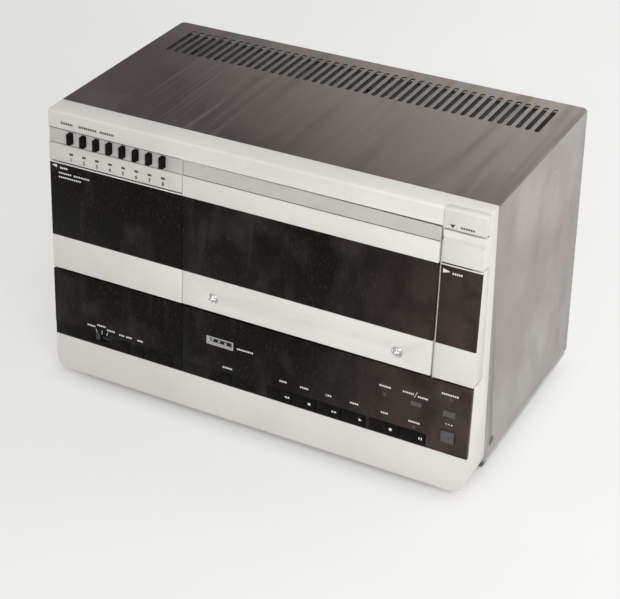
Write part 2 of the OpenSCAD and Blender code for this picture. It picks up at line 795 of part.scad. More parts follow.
// Guide posts on the deck, with the pin of the pinch roller
module tape_guides() {
    color(steel) on_face() {
        for (place = GUIDES) {
            rod_in(lid_mid_x + place[0], drum_v + place[1], post_r, 22, deck_d);
            rod_in(lid_mid_x + place[0], drum_v + place[1], post_r + 1.5, 20.5, 22.5);
            rod_in(lid_mid_x + place[0], drum_v + place[1], post_r + 2, deck_d - 5, deck_d);
        }
        rod_in(pinch_x, pinch_v, 1.5, 20, deck_d);
        rod_in(pinch_x, pinch_v, 5, deck_d - 5, deck_d);
    }
}

module capstan() {
    color(steel) on_face() {
        rod_in(capstan_x, capstan_v, capstan_r, 18, deck_d + 8);
        rod_in(capstan_x, capstan_v, flywheel_r, deck_d + 5.5, deck_d + 11);
    }
}

module pinch_roller() {
    color(black) on_face() difference() {
        rod_in(pinch_x, pinch_v, roller_r, 22, deck_d - 6);
        rod_in(pinch_x, pinch_v, 1.5 + fit, 20, deck_d);
    }
}

// A turntable with its splined spindle
module reel(x) {
    color(black) on_face() {
        rod_in(x, reel_v, turntable_r, deck_d - 7, deck_d - 1);
        rod_in(x, reel_v, hub_r, deck_d - 9.5, deck_d - 6.5);
        rod_in(x, reel_v, spindle_r, deck_d - 20, deck_d - 6);
        for (a = [0 : 60 : 300]) translate([x, 0, -reel_v]) rotate([0, a, 0])
            translate([spindle_r - 0.6, deck_d - 18, -0.7]) cube([1.8, 9, 1.4]);
        rod_in(x, reel_v, reel_shaft_r, deck_d - 6, deck_d + 8);
        rod_in(x, reel_v, reel_shaft_r + 1.5, deck_d + deck_t + 0.5, deck_d + 6);
    }
}

module supply_reel() {
    reel(lid_mid_x - reel_gap / 2);
}

module takeup_reel() {
    reel(lid_mid_x + reel_gap / 2);
}

// Circuit board on pillars, with its larger components
module main_board() {
    board_z = base_top + 8;
    color([0.15, 0.32, 0.2]) {
        translate([board_x, board_y, board_z]) cube([board_w, board_d, 1.6]);
        for (x = [board_x + 10, board_x + board_w / 2 - 5, board_x + board_w - 10])
            for (y = [board_y + 8, board_y + board_d - 8])
                translate([x, y, base_top]) cylinder(r = 3, h = 8.5);
    }
    color(black) {
        for (i = [0 : 5]) translate([board_x + 20 + i * 34, board_y + 14, board_z + 1.5]) cube([20, 7, 4]);
        for (i = [0 : 6]) translate([board_x + 25 + i * 30, board_y + 54, board_z + 1.5])
            cylinder(r = 6, h = 20);
        translate([board_x + 70, board_y + board_d - 36, board_z + 1.5]) cube([60, 24, 26]);
    }
}

module transformer() {
    margin = 6;
    color([0.3, 0.28, 0.27]) {
        translate([coil_x - margin, coil_y - 10, base_top]) cube([coil_w + 2 * margin, coil_d + 20, 2]);
        translate([coil_x, coil_y, base_top + 1.5]) cube([coil_w, coil_d, coil_h]);
    }
    color([0.6, 0.35, 0.15]) translate([coil_x + 14, coil_y - 8, base_top + 1.5])
        cube([coil_w - 28, coil_d + 16, coil_h - 10]);
}

// Screened tuner box on the rear panel, behind the aerial sockets
module tuner_module() {
    x0 = socket_x - 12;
    y0 = rear_y - sheet_t - tuner_d;
    z0 = aerial_z - 22;
    color(zinc) difference() {
        translate([x0, y0, z0]) cube([tuner_w, tuner_d, tuner_h]);
        translate([x0 + sheet_t, y0 - 1, z0 + sheet_t]) cube([tuner_w - 2 * sheet_t, 8, tuner_h - 2 * sheet_t]);
    }
}

// Aerial, sound and picture sockets
module rear_sockets() {
    color(steel) for (place = SOCKETS) difference() {
        union() {
            rod_y(place[0], rear_y - sheet_t, rear_y + 4.5, place[1], socket_r);
            rod_y(place[0], rear_y, rear_y + 1.2, place[1], socket_r + 1.8);
        }
        rod_y(place[0], rear_y - 0.5, rear_y + 6, place[1], socket_r - 1.1);
    }
}

module power_inlet() {
    color(black) {
        difference() {
            union() {
                translate([inlet_x - inlet_w / 2, rear_y - 22, inlet_z - inlet_h / 2])
                    cube([inlet_w, 22 + 1.4, inlet_h]);
                translate([inlet_x - inlet_w / 2 - 3, rear_y, inlet_z - inlet_h / 2 - 3])
                    cube([inlet_w + 6, 1.4, inlet_h + 6]);
            }
            translate([inlet_x - inlet_w / 2 + 2, rear_y - 18, inlet_z - inlet_h / 2 + 2])
                cube([inlet_w - 4, 22, inlet_h - 4]);
        }
        for (s = [-1, 1]) rod_y(inlet_x + s * 3.3, rear_y - 20, rear_y - 8, inlet_z, 1.2);
    }
}

// Lid of the cassette bay, with the barrels that run on its hinge rods
module cassette_lid() {
    edge = 0.8;
    color(silver) on_face() difference() {
        union() {
            slab(lid_x, lid_end_x, lid_v, lid_end_v, 0, lid_t);
            for (x = lug_places()) rod_across(x - 8.5, x + lug_w + 8.5, rod_v, rod_d, 2.4);
        }
        slab(lid_x - 1, lid_end_x + 1, strip_v - 1, strip_v + strip_h, -1, strip_sink);
        slab(lid_x - 1, lid_end_x + 1, window_v, band_v, -1, window_t);
        slab(lid_mid_x - 86, lid_mid_x + 86, window_v + 6, band_v - 6, 0, lid_t + 1);
        for (x = lug_places()) {
            slab(x - 0.5, x + lug_w + 0.5, rod_v - lug_r - 0.6, lid_end_v + 1, rod_d - lug_r - 0.4, lid_t + 5);
            rod_across(x - 7.5, x + lug_w + 7.5, rod_v, rod_d, rod_r + fit);
        }
        for (s = [-1, 1]) {
            rod_in(lid_mid_x + s * lid_screw_gap / 2, lid_screw_v, lid_screw_r, -1, 2.6);
            rod_in(lid_mid_x + s * lid_screw_gap / 2, lid_screw_v, screw_r, 0, lid_t + 1);
        }
        difference() {
            slab(lid_x - 1, lid_end_x + 1, lid_end_v - edge, lid_end_v + 1, -1, edge);
            rod_across(lid_x - 2, lid_end_x + 2, lid_end_v - edge, edge, edge);
        }
    }
}

module cassette_window() {
    color(smoke) on_face() slab(lid_x, lid_end_x, window_v, band_v, 0, window_t);
}

module lid_screws() {
    color(silver) on_face() for (s = [-1, 1]) {
        rod_in(lid_mid_x + s * lid_screw_gap / 2, lid_screw_v, lid_screw_r, 0.8, 2.6);
        rod_in(lid_mid_x + s * lid_screw_gap / 2, lid_screw_v, screw_r, 2, lid_t);
    }
}

// Sheet pocket for an upright cassette, open at the top and towards the reels
module cassette_holder() {
    x0 = lid_mid_x - holder_w / 2;
    x1 = lid_mid_x + holder_w / 2;
    back = lid_t + holder_d;
    color(steel) on_face() difference() {
        slab(x0, x1, holder_v, holder_end_v, lid_t, back);
        slab(x0 + holder_t, x1 - holder_t, holder_v - 1, holder_end_v - holder_t, lid_t + holder_t,
            back - holder_t);
        slab(x0 + 12, x1 - 12, holder_v - 1, holder_end_v + 1, back - holder_t - 1, back + 1);
        slab(x0 + 36, x1 - 36, holder_end_v - 2, holder_end_v + 1, lid_t + 9, back + 1);
        slab(lid_mid_x - 80, lid_mid_x + 80, window_v + 8, band_v - 8, 0, lid_t + holder_t + 1);
    }
}

// A compartment door: leaning skin, side skirt and the barrel on its upright pin
module door(s) {
    x0 = s < 0 ? -half_w : right_x;
    x1 = s < 0 ? seam_x : half_w;
    color(silver) difference() {
        union() {
            on_face() slab(x0, x1, door_v, lid_end_v, 0, door_t);
            intersection() {
                on_face() slab(s < 0 ? x0 : x1 - door_t, s < 0 ? x0 + door_t : x1, door_v, lid_end_v, 0, 60);
                translate([-half_w, face_y - 40, 0]) cube([case_w, hinge_y - face_y + 40, case_h]);
            }
            translate([s * hinge_x, hinge_y, pin_low()]) cylinder(r = barrel_r, h = pin_high() - pin_low());
        }
        on_face() slab(x0 - 1, x1 + 1, window_v, band_v, -1, door_plate_t);
        translate([s * hinge_x, hinge_y, 0]) cylinder(r = pin_r + fit, h = case_h);
    }
}

// Dark plate let into a door
module door_plate(s) {
    x0 = s < 0 ? -half_w : right_x;
    x1 = s < 0 ? seam_x : half_w;
    color(smoke) on_face() slab(x0, x1, window_v, band_v, 0, door_plate_t);
}

module left_door() {
    door(-1);
}

module left_door_panel() {
    door_plate(-1);
}

module right_door() {
    door(1);
}

module right_door_panel() {
    door_plate(1);
}

// Corner cap that slides down the face, with its guide stem
module eject_button() {
    color(silver) {
        intersection() {
            front_block(0);
            on_face() slab(eject_x, half_w, 0, eject_h, -1, 40);
            translate([0, face_y - 20, 0]) cube([case_w, eject_y - face_y + 20, case_h]);
        }
        on_face() {
            slab(eject_stem_x, eject_stem_x + eject_stem_w, eject_stem_v, eject_stem_v + eject_stem_h, 3, 13.8);
            slab(eject_stem_x - 1.5, eject_stem_x + eject_stem_w + 1.5, eject_stem_v - 1,
                eject_stem_v + eject_stem_h + 1, 12.3, 13.8);
        }
    }
}

// A channel key stands well proud of the strip and is kept in by a collar behind the wall
module channel_key(i) {
    x = key_at(i);
    color(black) on_face() {
        slab(x - channel_key_w / 2, x + channel_key_w / 2, channel_v - channel_key_h / 2,
            channel_v + channel_key_h / 2, strip_sink - channel_key_proud, wall_t + play + 1.2);
        slab(x - channel_key_w / 2 - 1.2, x + channel_key_w / 2 + 1.2, channel_v - channel_key_h / 2 - 1.2,
            channel_v + channel_key_h / 2 + 1.2, wall_t + play, wall_t + play + 1.2);
    }
}

module channel_key_1() {
    channel_key(0);
}

module channel_key_2() {
    channel_key(1);
}

module channel_key_3() {
    channel_key(2);
}

module channel_key_4() {
    channel_key(3);
}

module channel_key_5() {
    channel_key(4);
}

module channel_key_6() {
    channel_key(5);
}

module channel_key_7() {
    channel_key(6);
}

module channel_key_8() {
    channel_key(7);
}

// Sliding knob, drawn at the left end of its way
module mode_switch() {
    x = mode_x - mode_travel / 2;
    color(black) on_face() {
        slab(x - mode_knob_w / 2, x + mode_knob_w / 2, mode_v - mode_recess_h / 2 + play,
            mode_v + mode_recess_h / 2 - play, panel_step - key_proud, panel_t - play);
        slab(x - stem_w / 2, x + stem_w / 2, mode_v - stem_h / 2, mode_v + stem_h / 2, 1,
            backing_end + play + 1.2);
        slab(x - stem_w / 2, x + stem_w / 2, mode_v - stem_h / 2 - 0.9, mode_v + stem_h / 2 + 0.9,
            backing_end + play, backing_end + play + 1.2);
    }
}

module timer_on_button() {
    color(black) panel_key(clock_x, button_v, clock_button_w, clock_button_w, key_proud - panel_step);
}

module day_button() {
    color(black) panel_key(clock_x + clock_pitch, button_v, clock_button_w, clock_button_w, key_proud - panel_step);
}

module hour_button() {
    color(black) panel_key(clock_x + 2 * clock_pitch, button_v, clock_button_w, clock_button_w,
        key_proud - panel_step);
}

module minute_button() {
    color(black) panel_key(clock_x + 3 * clock_pitch, button_v, clock_button_w, clock_button_w,
        key_proud - panel_step);
}

module counter_reset_button() {
    color(black) panel_key(reset_x, button_v, reset_w, reset_h, key_proud - panel_step);
}

module deck_key(i) {
    color(black) panel_key(deck_key_mid(i), key_mid_v, deck_key_width(i), deck_key_h, key_proud - panel_step);
}

module rewind_key() {
    deck_key(0);
}

module stop_key() {
    deck_key(1);
}

module forward_key() {
    deck_key(2);
}

module play_key() {
    deck_key(3);
}

module record_key() {
    deck_key(4);
}

module pause_key() {
    deck_key(5);
}

module speed_button() {
    color(smoke) panel_key(speed_x, upper_v, speed_w, speed_h, key_proud);
}

module timer_button() {
    color(smoke) panel_key(timer_x, timer_v, timer_w, timer_h, key_proud);
}

module output_button() {
    color(smoke) panel_key(timer_x, output_v, output_w, output_h, 1.6);
}

// A knob on the compartment's back wall, its shaft running through the wall
module knob(x, r) {
    color(black) {
        rod_y(x, bay_y - play - knob_h, bay_y - play, knob_z, r);
        rod_y(x, bay_y - 1, bay_y + bay_t + 3, knob_z, knob_shaft_r);
        rod_y(x, bay_y + bay_t + 0.5, bay_y + bay_t + 3, knob_z, knob_shaft_r + 2);
    }
}

module tuning_knob() {
    knob(left_knob_x, knob_r);
}

module tracking_knob() {
    knob(right_knob_x, small_knob_r);
}

front_fascia();
indicator_lamps();
top_cover();
side_panels();
rear_panel();
base_plate();
feet();
case_screws();
hinge_pins();
clock_window();
control_window();
counter_frame();
counter_wheels();
deck_chassis();
lower_drum();
tape_guides();
main_board();
transformer();
tuner_module();
rear_sockets();
power_inlet();
cassette_lid();
cassette_window();
lid_screws();
cassette_holder();
left_door();
left_door_panel();
right_door();
right_door_panel();
eject_button();
channel_key_1();
channel_key_2();
channel_key_3();
channel_key_4();
channel_key_5();
channel_key_6();
channel_key_7();
channel_key_8();
mode_switch();
timer_on_button();
day_button();
hour_button();
minute_button();
counter_reset_button();
rewind_key();
stop_key();
forward_key();
play_key();
record_key();
pause_key();
speed_button();
timer_button();
output_button();
upper_drum();
capstan();
pinch_roller();
supply_reel();
takeup_reel();
tuning_knob();
tracking_knob();
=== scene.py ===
# %% [markdown]
# # A front-loading video cassette recorder
# The frame of the recorder, with every lid, door, key and reel on its joint, comes from the packed
# CAD model. This notebook gives it its looks. The order is: the frame, the camera, the light, the
# finishes, then the pieces from the moulded front to the back of the case and the tape deck inside.
# Everything is in metres and stays in the frame of the CAD model, so nothing has to be fitted.

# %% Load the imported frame
import json
import math

import bmesh
import bpy
from mathutils import Matrix, Vector
from mathutils.bvhtree import BVHTree

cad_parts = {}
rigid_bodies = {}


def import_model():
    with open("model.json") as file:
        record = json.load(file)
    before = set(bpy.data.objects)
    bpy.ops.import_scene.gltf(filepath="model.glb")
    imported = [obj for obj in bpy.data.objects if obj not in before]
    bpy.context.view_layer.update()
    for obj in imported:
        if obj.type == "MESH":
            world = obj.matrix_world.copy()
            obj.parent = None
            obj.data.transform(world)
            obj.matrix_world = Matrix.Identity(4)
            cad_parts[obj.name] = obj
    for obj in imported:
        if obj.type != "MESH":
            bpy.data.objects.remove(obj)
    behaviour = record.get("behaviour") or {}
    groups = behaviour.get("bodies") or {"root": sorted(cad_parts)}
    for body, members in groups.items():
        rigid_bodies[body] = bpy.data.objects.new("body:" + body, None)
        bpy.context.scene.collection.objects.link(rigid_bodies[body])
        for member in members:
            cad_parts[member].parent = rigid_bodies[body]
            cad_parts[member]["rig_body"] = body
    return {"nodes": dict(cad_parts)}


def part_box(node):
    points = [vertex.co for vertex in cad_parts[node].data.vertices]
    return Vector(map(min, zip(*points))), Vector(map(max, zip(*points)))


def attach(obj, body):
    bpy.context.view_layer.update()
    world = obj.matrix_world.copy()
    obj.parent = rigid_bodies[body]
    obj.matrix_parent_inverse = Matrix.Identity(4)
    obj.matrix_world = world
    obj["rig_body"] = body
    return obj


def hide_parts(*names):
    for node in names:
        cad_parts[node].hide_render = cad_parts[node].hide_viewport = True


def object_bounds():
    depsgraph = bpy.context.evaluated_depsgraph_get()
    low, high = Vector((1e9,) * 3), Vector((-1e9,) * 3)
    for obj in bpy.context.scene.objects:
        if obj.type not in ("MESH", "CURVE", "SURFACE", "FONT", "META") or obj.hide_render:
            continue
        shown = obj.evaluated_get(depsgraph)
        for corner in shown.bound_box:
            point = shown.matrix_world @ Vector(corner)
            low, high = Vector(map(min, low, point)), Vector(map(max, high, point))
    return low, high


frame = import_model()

MM = 0.001
nodes = frame["nodes"]
cad_low, cad_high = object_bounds()
print("nodes:", len(nodes), "- size in mm:", [round(v / MM, 1) for v in cad_high - cad_low])

# %% [markdown]
# The front of the case leans back a little. Its keys, windows and screws are easiest to place with
# three numbers: how far across, how far down from the top edge, and how deep behind the face. One
# matrix turns these into the frame of the case, and a second helper reads a node's place back in the
# same three numbers, so that every mark and screw finds its seat from the CAD model itself.

# %% The frame of the leaning face
LEAN = math.radians(4.47)
CASE_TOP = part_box("top_cover")[1].z
window_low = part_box("cassette_window")[0]
WINDOW_DEPTH = 3 * MM
window_foot = (CASE_TOP - window_low.z - WINDOW_DEPTH * math.sin(LEAN)) / math.cos(LEAN)
FACE_Y = window_low.y + window_foot * math.sin(LEAN)
FACE = Matrix.Translation((0, FACE_Y, CASE_TOP)) @ Matrix.Rotation(-LEAN, 4, "X")
print("the top edge of the face stands at y =", round(FACE_Y / MM, 2), "mm")


class FaceBox:
    """A node's reach across (x0, x1), down (v0, v1) and its front and back depth on the leaning face."""

    def __init__(self, node):
        into = FACE.inverted()
        points = [into @ v.co for v in nodes[node].data.vertices]
        self.x0 = min(p.x for p in points)
        self.x1 = max(p.x for p in points)
        self.front = min(p.y for p in points)
        self.back = max(p.y for p in points)
        self.v0 = -max(p.z for p in points)
        self.v1 = -min(p.z for p in points)
        self.x = (self.x0 + self.x1) / 2
        self.v = (self.v0 + self.v1) / 2


lid = FaceBox("cassette_lid")
print("the lid spans", round(lid.x0 / MM, 1), "to", round(lid.x1 / MM, 1), "mm across")

# %% [markdown]
# The camera stands in front of the case, to its right and above it, with a long lens. Its place was
# worked out from the corners of the case in the photograph. A small shift frames the recorder as the
# photograph does, because there it doesn't sit in the middle of the picture.

# %% Camera
CAMERA_PLACE = Vector((579.5, -1076.4, 839.1)) * MM
CAMERA_TARGET = Vector((15.0, 0.0, 122.8)) * MM
CAMERA_ROLL = math.radians(-0.17)
camera_data = bpy.data.cameras.new("camera")
camera = bpy.data.objects.new("camera", camera_data)
bpy.context.scene.collection.objects.link(camera)
camera.location = CAMERA_PLACE
camera.rotation_mode = "QUATERNION"
looking = (CAMERA_TARGET - CAMERA_PLACE).to_track_quat("-Z", "Y")
camera.rotation_quaternion = looking @ Matrix.Rotation(-CAMERA_ROLL, 3, "Z").to_quaternion()
camera_data.lens = 97.12
camera_data.sensor_width = 36
camera_data.sensor_fit = "HORIZONTAL"
camera_data.shift_x = -0.03
camera_data.shift_y = -0.07
camera_data.clip_start = 0.05
camera_data.clip_end = 60
bpy.context.scene.camera = camera
print("camera distance in m:", round((CAMERA_TARGET - CAMERA_PLACE).length, 2))

# %% [markdown]
# A finish is built from the same few layers each time: a base colour, patterns that shift it (clouds,
# brush marks, dust), a pattern that varies the gloss, and bumps. One function takes the layers as
# plain lists, so each finish below reads like a recipe. All patterns use Object coordinates, in
# metres, so a scale of 500 means a feature about every two millimetres. Values that are the same all
# over go straight onto the shader's sockets.

# %% Finish helpers
PATTERNS = {"cloud": "ShaderNodeTexNoise", "cells": "ShaderNodeTexVoronoi", "bands": "ShaderNodeTexWave"}
EVEN = (1, 1, 1)


def node(tree, kind, settings=None, **sockets):
    """Adds a node, sets its properties, gives its sockets a value or a link, hands back its outputs."""
    made_node = tree.nodes.new(kind)
    for setting, value in (settings or {}).items():
        setattr(made_node, setting, value)
    for label, value in sockets.items():
        by_number = label[1:].isdigit()
        socket = made_node.inputs[int(label[1:]) if by_number else label.replace("_", " ")]
        if isinstance(value, bpy.types.NodeSocket):
            tree.links.new(value, socket)
        else:
            socket.default_value = value
    return made_node.outputs


def maths(tree, operation, first, second=0.0):
    return node(tree, "ShaderNodeMath", {"operation": operation}, _0=first, _1=second)[0]


def blend(tree, share, first, second):
    """Two colours mixed by a share; each is a colour or a link."""
    return node(tree, "ShaderNodeMix", {"data_type": "RGBA"}, _0=share, _6=first, _7=second)[2]


def slope(tree, scale, direction):
    """A steady rise along a direction, one unit for each 1 / scale metres, a half at the case's middle."""
    place = node(tree, "ShaderNodeTexCoord")["Object"]
    along = node(tree, "ShaderNodeVectorMath", {"operation": "DOT_PRODUCT"}, _0=place,
                 _1=[scale * part for part in direction])
    return maths(tree, "ADD", along["Value"], 0.5)


def pattern(tree, kind, scale, stretch=EVEN, detail=3.0):
    """A grey pattern over the object, stretched along its axes."""
    if kind == "slope":
        return slope(tree, scale, stretch)
    place = node(tree, "ShaderNodeTexCoord")["Object"]
    stretched = node(tree, "ShaderNodeMapping", Vector=place, Scale=stretch)["Vector"]
    return node(tree, PATTERNS[kind], Vector=stretched, Scale=scale, Detail=detail)[0]


def spread(tree, value, low, high, to_low=0.0, to_high=1.0):
    """Stretches the part of a pattern between low and high to a new range, and clamps the rest."""
    return node(tree, "ShaderNodeMapRange", _0=value, _1=low, _2=high, _3=to_low, _4=to_high)[0]


def finish(name, base, roughness, layers=(), gloss=None, bumps=(), **shader_values):
    """Layers are (colour, pattern, low, high, most); gloss is (pattern, least, most rough)."""
    material = bpy.data.materials.new(name)
    material.use_nodes = True
    tree = material.node_tree
    shader = tree.nodes["Principled BSDF"]
    shader.inputs["Base Color"].default_value = (*base, 1)
    shader.inputs["Roughness"].default_value = roughness
    for socket, number in shader_values.items():
        shader.inputs[socket.replace("_", " ")].default_value = number
    below = None
    for colour, made_of, low, high, most in layers:
        share = spread(tree, pattern(tree, *made_of), low, high, 0, most)
        below = blend(tree, share, below or (*base, 1), (*colour, 1))
    if below:
        tree.links.new(below, shader.inputs["Base Color"])
    if gloss:
        made_of, least, most = gloss
        rough = spread(tree, pattern(tree, *made_of), 0.3, 0.7, least, most)
        tree.links.new(rough, shader.inputs["Roughness"])
    normal = None
    for made_of, height in bumps:
        under = {"Normal": normal} if normal else {}
        bump = node(tree, "ShaderNodeBump", Distance=height, Height=pattern(tree, *made_of), **under)
        normal = bump["Normal"]
    if normal:
        tree.links.new(normal, shader.inputs["Normal"])
    return material


def seen_share(tree, most):
    """A share for what the camera sees, directly, in a reflection or through clear plastic."""
    path = node(tree, "ShaderNodeLightPath")
    total = path["Is Camera Ray"]
    for ray in ("Is Glossy Ray", "Is Transmission Ray"):
        total = maths(tree, "MAXIMUM", total, path[ray])
    return maths(tree, "MULTIPLY", total, most)


print("patterns:", list(PATTERNS))

# %% [markdown]
# The light is a plain studio: a pale floor, a bright even surround, one broad soft lamp in front on
# the right and weaker ones behind, above and on the left, because in the photograph the right end of
# the front and the back of the cover are the brightest. For the camera, and for what it sees in a
# reflection, a share of plain white is mixed into the floor, a little less on the left, so the floor
# comes out almost white while it still holds the recorder's shadow. Right under the case, where no
# studio light gets in, the share of white fades out, and the dark line under the chin appears.

# %% Floor
FLOOR_SIZE = 12.0
FLOOR_LIFT = 0.66
WHITE_LEFT, WHITE_RIGHT = (0.7, 0.7, 0.675, 1), (1.0, 0.995, 0.985, 1)
WHITE_STRENGTH = 1.05
CASE_MIDDLE_Y, CHIN_SETBACK = 0.004, 0.006
half = FLOOR_SIZE / 2
floor_mesh = bpy.data.meshes.new("floor")
floor_mesh.from_pydata([(-half, -half, 0), (half, -half, 0), (half, half, 0), (-half, half, 0)],
                       [], [(0, 1, 2, 3)])
floor = bpy.data.objects.new("floor", floor_mesh)
bpy.context.scene.collection.objects.link(floor)


def outside_footprint(tree):
    """How far a place on the floor lies outside the case's outline, in metres; less than zero under it."""
    place = node(tree, "ShaderNodeTexCoord")["Object"]
    axes = node(tree, "ShaderNodeSeparateXYZ", _0=place)
    beyond = []
    for axis, middle, reach in ((0, 0.0, cad_high.x), (1, CASE_MIDDLE_Y, cad_high.y - CHIN_SETBACK)):
        from_middle = maths(tree, "ABSOLUTE", maths(tree, "SUBTRACT", axes[axis], middle))
        beyond.append(maths(tree, "SUBTRACT", from_middle, reach))
    return maths(tree, "MAXIMUM", *beyond)


def floor_paper():
    """Pale paper, lifted with a share of plain white that rises gently to the right."""
    material = finish("floor_paper", (0.8, 0.797, 0.785), 0.7,
                      layers=[((0.77, 0.767, 0.755), ("cloud", 3.0), 0.4, 0.6, 1.0)],
                      bumps=[(("cloud", 400.0), 0.00002)])
    tree = material.node_tree
    rise = spread(tree, slope(tree, 0.5, (0.9, 0.45, 0)), 0.1, 0.95)
    white = node(tree, "ShaderNodeEmission", Strength=WHITE_STRENGTH,
                 Color=blend(tree, rise, WHITE_LEFT, WHITE_RIGHT))
    clear_of_case = spread(tree, outside_footprint(tree), -0.012, 0.02)
    lifted = maths(tree, "MULTIPLY", seen_share(tree, FLOOR_LIFT), clear_of_case)
    both = node(tree, "ShaderNodeMixShader", _0=lifted,
                _1=tree.nodes["Principled BSDF"].outputs[0], _2=white[0])
    tree.links.new(both[0], tree.nodes["Material Output"].inputs["Surface"])
    return material


floor_mesh.materials.append(floor_paper())
print("floor:", FLOOR_SIZE, "m across")

# %% Surround
SURROUND_LIGHT = 0.5
world = bpy.data.worlds.new("studio")
bpy.context.scene.world = world
world.use_nodes = True
sky_tree = world.node_tree
surround = sky_tree.nodes["Background"]
surround.inputs["Color"].default_value = (1.0, 0.99, 0.975, 1)
surround.inputs["Strength"].default_value = SURROUND_LIGHT
backdrop = node(sky_tree, "ShaderNodeBackground", Color=(0.86, 0.86, 0.845, 1))
either_sky = node(sky_tree, "ShaderNodeMixShader", _0=seen_share(sky_tree, 1.0),
                  _1=surround.outputs[0], _2=backdrop[0])
sky_tree.links.new(either_sky[0], sky_tree.nodes["World Output"].inputs["Surface"])
print("surround strength:", SURROUND_LIGHT)


# %% Lamps
def lamp(name, place, target, size, power):
    """A square soft lamp that looks at a target."""
    data = bpy.data.lights.new(name, "AREA")
    data.size = size
    data.energy = power
    obj = bpy.data.objects.new(name, data)
    bpy.context.scene.collection.objects.link(obj)
    obj.location = place
    obj.rotation_mode = "QUATERNION"
    obj.rotation_quaternion = (Vector(target) - Vector(place)).to_track_quat("-Z", "Y")


lamp("key_lamp", (1.1, -1.3, 1.2), (0.15, -0.05, 0.1), 0.7, 28)
lamp("side_lamp", (1.5, 0.9, 1.0), (0.15, 0.05, 0.15), 0.9, 8)
lamp("top_lamp", (0.9, 0.5, 2.2), (0.05, 0, 0.12), 1.4, 7)
lamp("left_lamp", (-1.9, -1.6, 1.4), (0, 0, 0.12), 1.6, 4)
bpy.context.scene.view_settings.view_transform = "Standard"

# %% [markdown]
# The moulded front, the doors and the lid are plastic in a satin silver paint: a warm light grey with
# a fine sparkle, faint clouds, and here and there a speck of dust. A few per cent of metal in the
# shader gives it the soft metallic sheen. Two darker copies of the silver are painted shade: one
# for the band under the strip on the left, one for the sunken strip and its hatch.

# %% Silver paint
def silver(name, base, roughness, clouds, sparkle, dust, gloss):
    """Clouds are (colour, scale), sparkle (colour, most), dust (colour, scale, low), gloss as in finish."""
    layers = [(clouds[0], ("cloud", clouds[1], EVEN, 4.0), 0.42, 0.66, 0.7),
              (sparkle[0], ("cloud", 1400.0, EVEN, 2.0), 0.52, 0.72, sparkle[1])]
    if dust:
        colour, scale, low = dust
        layers.append((colour, ("cloud", scale, EVEN, 2.0), low, low + 0.05, 0.35))
    return finish(name, base, roughness, layers, gloss,
                  bumps=[(("cloud", 2200.0, EVEN, 1.0), 0.000012)], Metallic=0.15)


silver_paint = silver("silver_paint", (0.61, 0.592, 0.568), 0.4,
                      ((0.55, 0.532, 0.513), 14.0), ((0.74, 0.72, 0.7), 0.6),
                      ((0.4, 0.385, 0.37), 420.0, 0.73), (("cloud", 30.0), 0.36, 0.46))
lid_paint = silver("lid_paint", (0.63, 0.612, 0.588), 0.38,
                   ((0.57, 0.552, 0.533), 11.0), ((0.75, 0.73, 0.71), 0.6),
                   ((0.42, 0.4, 0.385), 380.0, 0.74), (("cloud", 26.0), 0.34, 0.44))
# painted shade: a darker copy of the silver for the band on the left under the strip
band_shaded_silver = silver("band_shaded_silver", (0.52, 0.503, 0.483), 0.4,
                    ((0.47, 0.452, 0.434), 14.0), ((0.66, 0.64, 0.62), 0.5),
                    ((0.35, 0.335, 0.32), 420.0, 0.73), (("cloud", 30.0), 0.36, 0.46))
# painted shade: a darker copy of the silver for the sunken strip and its hatch
strip_shaded_silver = silver("strip_shaded_silver", (0.45, 0.434, 0.415), 0.45,
                     ((0.4, 0.385, 0.37), 30.0), ((0.6, 0.58, 0.56), 0.5),
                     None, (("cloud", 30.0), 0.4, 0.5))
print("silver paints made")

# %% [markdown]
# The windows and control panels are smoked acrylic, almost black. What gives it away as a used
# surface is the film on it: faint upright wipe marks, softer clouds, and dust specks. These are
# layers of a slightly lighter brown black, stretched along the height of the face. The first layer
# is a painted reflection: the colour grows lighter towards the right and down the face.

# %% Smoked acrylic, key black and the small plastics
UPRIGHT = (1, 1, 0.12)
dark_acrylic_and_reflection = finish(
    "dark_acrylic_with_reflection", (0.003, 0.0025, 0.002), 0.22,
    layers=[
        # painted reflection: lighter towards the right and lower down
        ((0.12, 0.088, 0.077), ("slope", 2.3, (1, 0.1, -0.35)), 0.5, 1.1, 0.7),
        ((0.03, 0.024, 0.021), ("cloud", 70.0, UPRIGHT, 4.0), 0.55, 0.78, 0.6),
        ((0.028, 0.022, 0.02), ("cloud", 26.0, (1, 1, 0.8), 5.0), 0.52, 0.72, 0.7),
        ((0.05, 0.042, 0.038), ("cloud", 900.0, (1, 1, 0.3), 3.0), 0.56, 0.76, 0.5),
        ((0.0016, 0.0013, 0.0012), ("cloud", 48.0, (1, 1, 0.7), 4.0), 0.44, 0.7, 0.6),
        ((0.2, 0.18, 0.165), ("cloud", 560.0, EVEN, 1.0), 0.8, 0.86, 0.5),
    ],
    gloss=(("cloud", 24.0, (1, 1, 0.4), 4.0), 0.14, 0.36),
    bumps=[(("cloud", 120.0, UPRIGHT), 0.000015)],
    Specular_IOR_Level=0.09,
)
key_black = finish(
    "key_black", (0.005, 0.0046, 0.0044), 0.42,
    layers=[
        ((0.013, 0.0125, 0.012), ("cloud", 160.0), 0.5, 0.8, 0.7),
        ((0.12, 0.115, 0.11), ("cloud", 700.0, EVEN, 1.0), 0.76, 0.82, 0.4),
    ],
    gloss=(("cloud", 90.0), 0.36, 0.5),
    bumps=[(("cloud", 1800.0), 0.000012)],
    Specular_IOR_Level=0.05,
)
